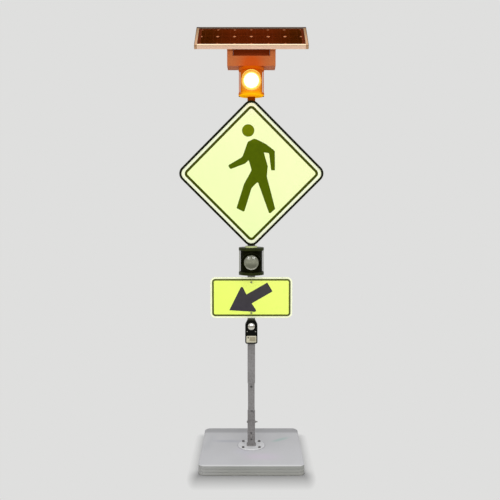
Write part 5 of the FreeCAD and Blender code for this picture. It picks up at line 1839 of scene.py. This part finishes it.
@dataclass(frozen=True)
class Studio:
    """Floor, backdrop, soft lamps and the camera."""

    backdrop: Rgb = (223, 223, 222)
    floor: Rgb = (218, 218, 217)
    floor_rings: tuple[float, ...] = (0.0, 0.5, 1.0, 2.0, 4.0, 12.0, 60.0)
    shade: Rgb = (196, 196, 196)
    shade_ahead: Rgb = (152, 152, 152)
    shade_blend: float = 0.13
    shadow_reach: float = 0.236
    shadow_squeeze: float = 2.9
    sky: float = 0.68
    lamps: tuple[Softbox, ...] = (
        Softbox("left_softbox", (-1.1, -4.4, 3.0), (0.0, 0.0, 1.5), 1.0, 32.0),
        Softbox("right_softbox", (1.1, -4.4, 3.0), (0.0, 0.0, 1.5), 1.0, 28.0),
        Softbox("top_softbox", (0.0, -1.8, 10.0), (0.0, 0.0, 0.0), 4.5, 300.0),
    )
    eye: Place = (-0.010, -4.814, 1.948)
    pitch_down: float = math.radians(4.256)
    lens_mm: float = 46.0
    sensor_mm: float = 36.0
    sight: float = 200.0

    def build(self) -> None:
        """Builds everything round the sign."""
        self.lay_floor()
        self.light_world()
        for lamp in self.lamps:
            lamp.hang()
        self.place_camera()

    def lay_floor(self) -> None:
        """A wide disc that turns into the backdrop's own colour away from the sign.

        Formula: rings of points at growing radii, (r cos a, r sin a, 0).
        """
        radius = np.array(self.floor_rings)[:, None]
        angle = np.linspace(0.0, math.tau, 97)[None, :]
        level = np.zeros((radius.size, angle.size))
        patch = Patch(np.stack([radius * np.cos(angle), radius * np.sin(angle), level], axis=-1))
        mesh = bpy.data.meshes.new("floor")
        mesh.from_pydata(patch.points.reshape(-1, 3).tolist(), [], patch.faces(0).tolist())
        mesh.materials.append(self.paper())
        shown("floor", mesh)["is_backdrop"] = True

    def paper(self) -> bpy.types.Material:
        """The floor's material: paper near the slab, with a shade on it, and the backdrop beyond.

        Formula: the shadow's share falls with the distance from the slab's foot, squeezed at the
        sides and behind, over the shadow's reach.

        Returns:
            The material.
        """
        paint = Paint("floor_paper")
        low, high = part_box("ballast_slab")
        x, y, _ = paint.parts(paint.place)
        beside = paint.join(paint.over(paint.absolute(x), high.x), paint.over(y, high.y), 0.0)
        ahead = paint.join(0.0, paint.over(low.y, y), 0.0)
        gap = paint.vector("ADD", paint.times(beside, self.shadow_squeeze), ahead)
        fade = paint.compute("DIVIDE", paint.vector("LENGTH", gap), self.shadow_reach, clamp=True)
        facing = paint.step(y, low.y + self.shade_blend, low.y)
        shade = paint.layered(self.shade, (facing, self.shade_ahead))
        seen = self.seen(paint)
        paint.put(Base_Color=paint.layered(self.floor, (seen, shade)), Roughness=0.9,
                  Specular_IOR_Level=0.0)
        plain = paint.add("Emission", {"Color": linear(self.backdrop)})
        share = paint.masked(fade, seen)
        mix = paint.add("MixShader", {0: share, 1: paint.shader.outputs[0], 2: plain.outputs[0]})
        paint.feed(paint.find("OUTPUT_MATERIAL").inputs["Surface"], mix.outputs[0])
        return paint.material

    def seen(self, graph: Graph) -> Socket:
        """1 for rays from the camera, and for those that metal and glass throw back or let through.

        Args:
            graph: the tree.

        Returns:
            The share.
        """
        path = graph.add("LightPath").outputs
        both = graph.compute("MAXIMUM", path["Is Camera Ray"], path["Is Glossy Ray"])
        return graph.compute("MAXIMUM", both, path["Is Transmission Ray"])

    def light_world(self) -> None:
        """An even white sky that shows as the backdrop's colour."""
        world = bpy.data.worlds.new("studio")
        bpy.context.scene.world = world
        world.use_nodes = True
        graph = Graph(world.node_tree)
        sky = graph.layered((self.sky, self.sky, self.sky, 1.0), (self.seen(graph), self.backdrop))
        background = graph.find("BACKGROUND")
        graph.feed(background.inputs["Color"], sky)
        graph.feed(background.inputs["Strength"], 1.0)

    def place_camera(self) -> None:
        """The photograph's view: a long lens at eye height, pitched down a little."""
        data = bpy.data.cameras.new("camera")
        data.lens = self.lens_mm
        data.sensor_width = self.sensor_mm
        data.clip_end = self.sight
        camera = shown("camera", data)
        camera.location = self.eye
        camera.rotation_euler = (math.pi / 2 - self.pitch_down, 0.0, 0.0)
        bpy.context.scene.camera = camera


def clear_scene() -> None:
    """Removes the objects that a new Blender file starts with."""
    for thing in list(bpy.data.objects):
        bpy.data.objects.remove(thing)


def corners() -> list[list[float]]:
    """The shown object's box as plain lists."""
    return [list(corner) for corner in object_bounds()]


def main() -> None:
    """Loads the frame, dresses and details each unit, and sets the studio."""
    logging.basicConfig(level=logging.INFO, format="%(name)s: %(message)s")
    clear_scene()
    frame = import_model()
    units = [
        Footing(frame),
        ButtonStation(frame),
        ArrowPlaque(frame),
        Beacon(frame, "lower_beacon", lit=False),
        DiamondSign(frame),
        Beacon(frame, "upper_beacon", lit=True),
        SmallParts(frame),
        PowerHead(frame),
    ]
    for unit in units:
        unit.make()
    Studio().build()
    bpy.context.scene.view_settings.view_transform = "Standard"


if __name__ == "__main__":
    main()
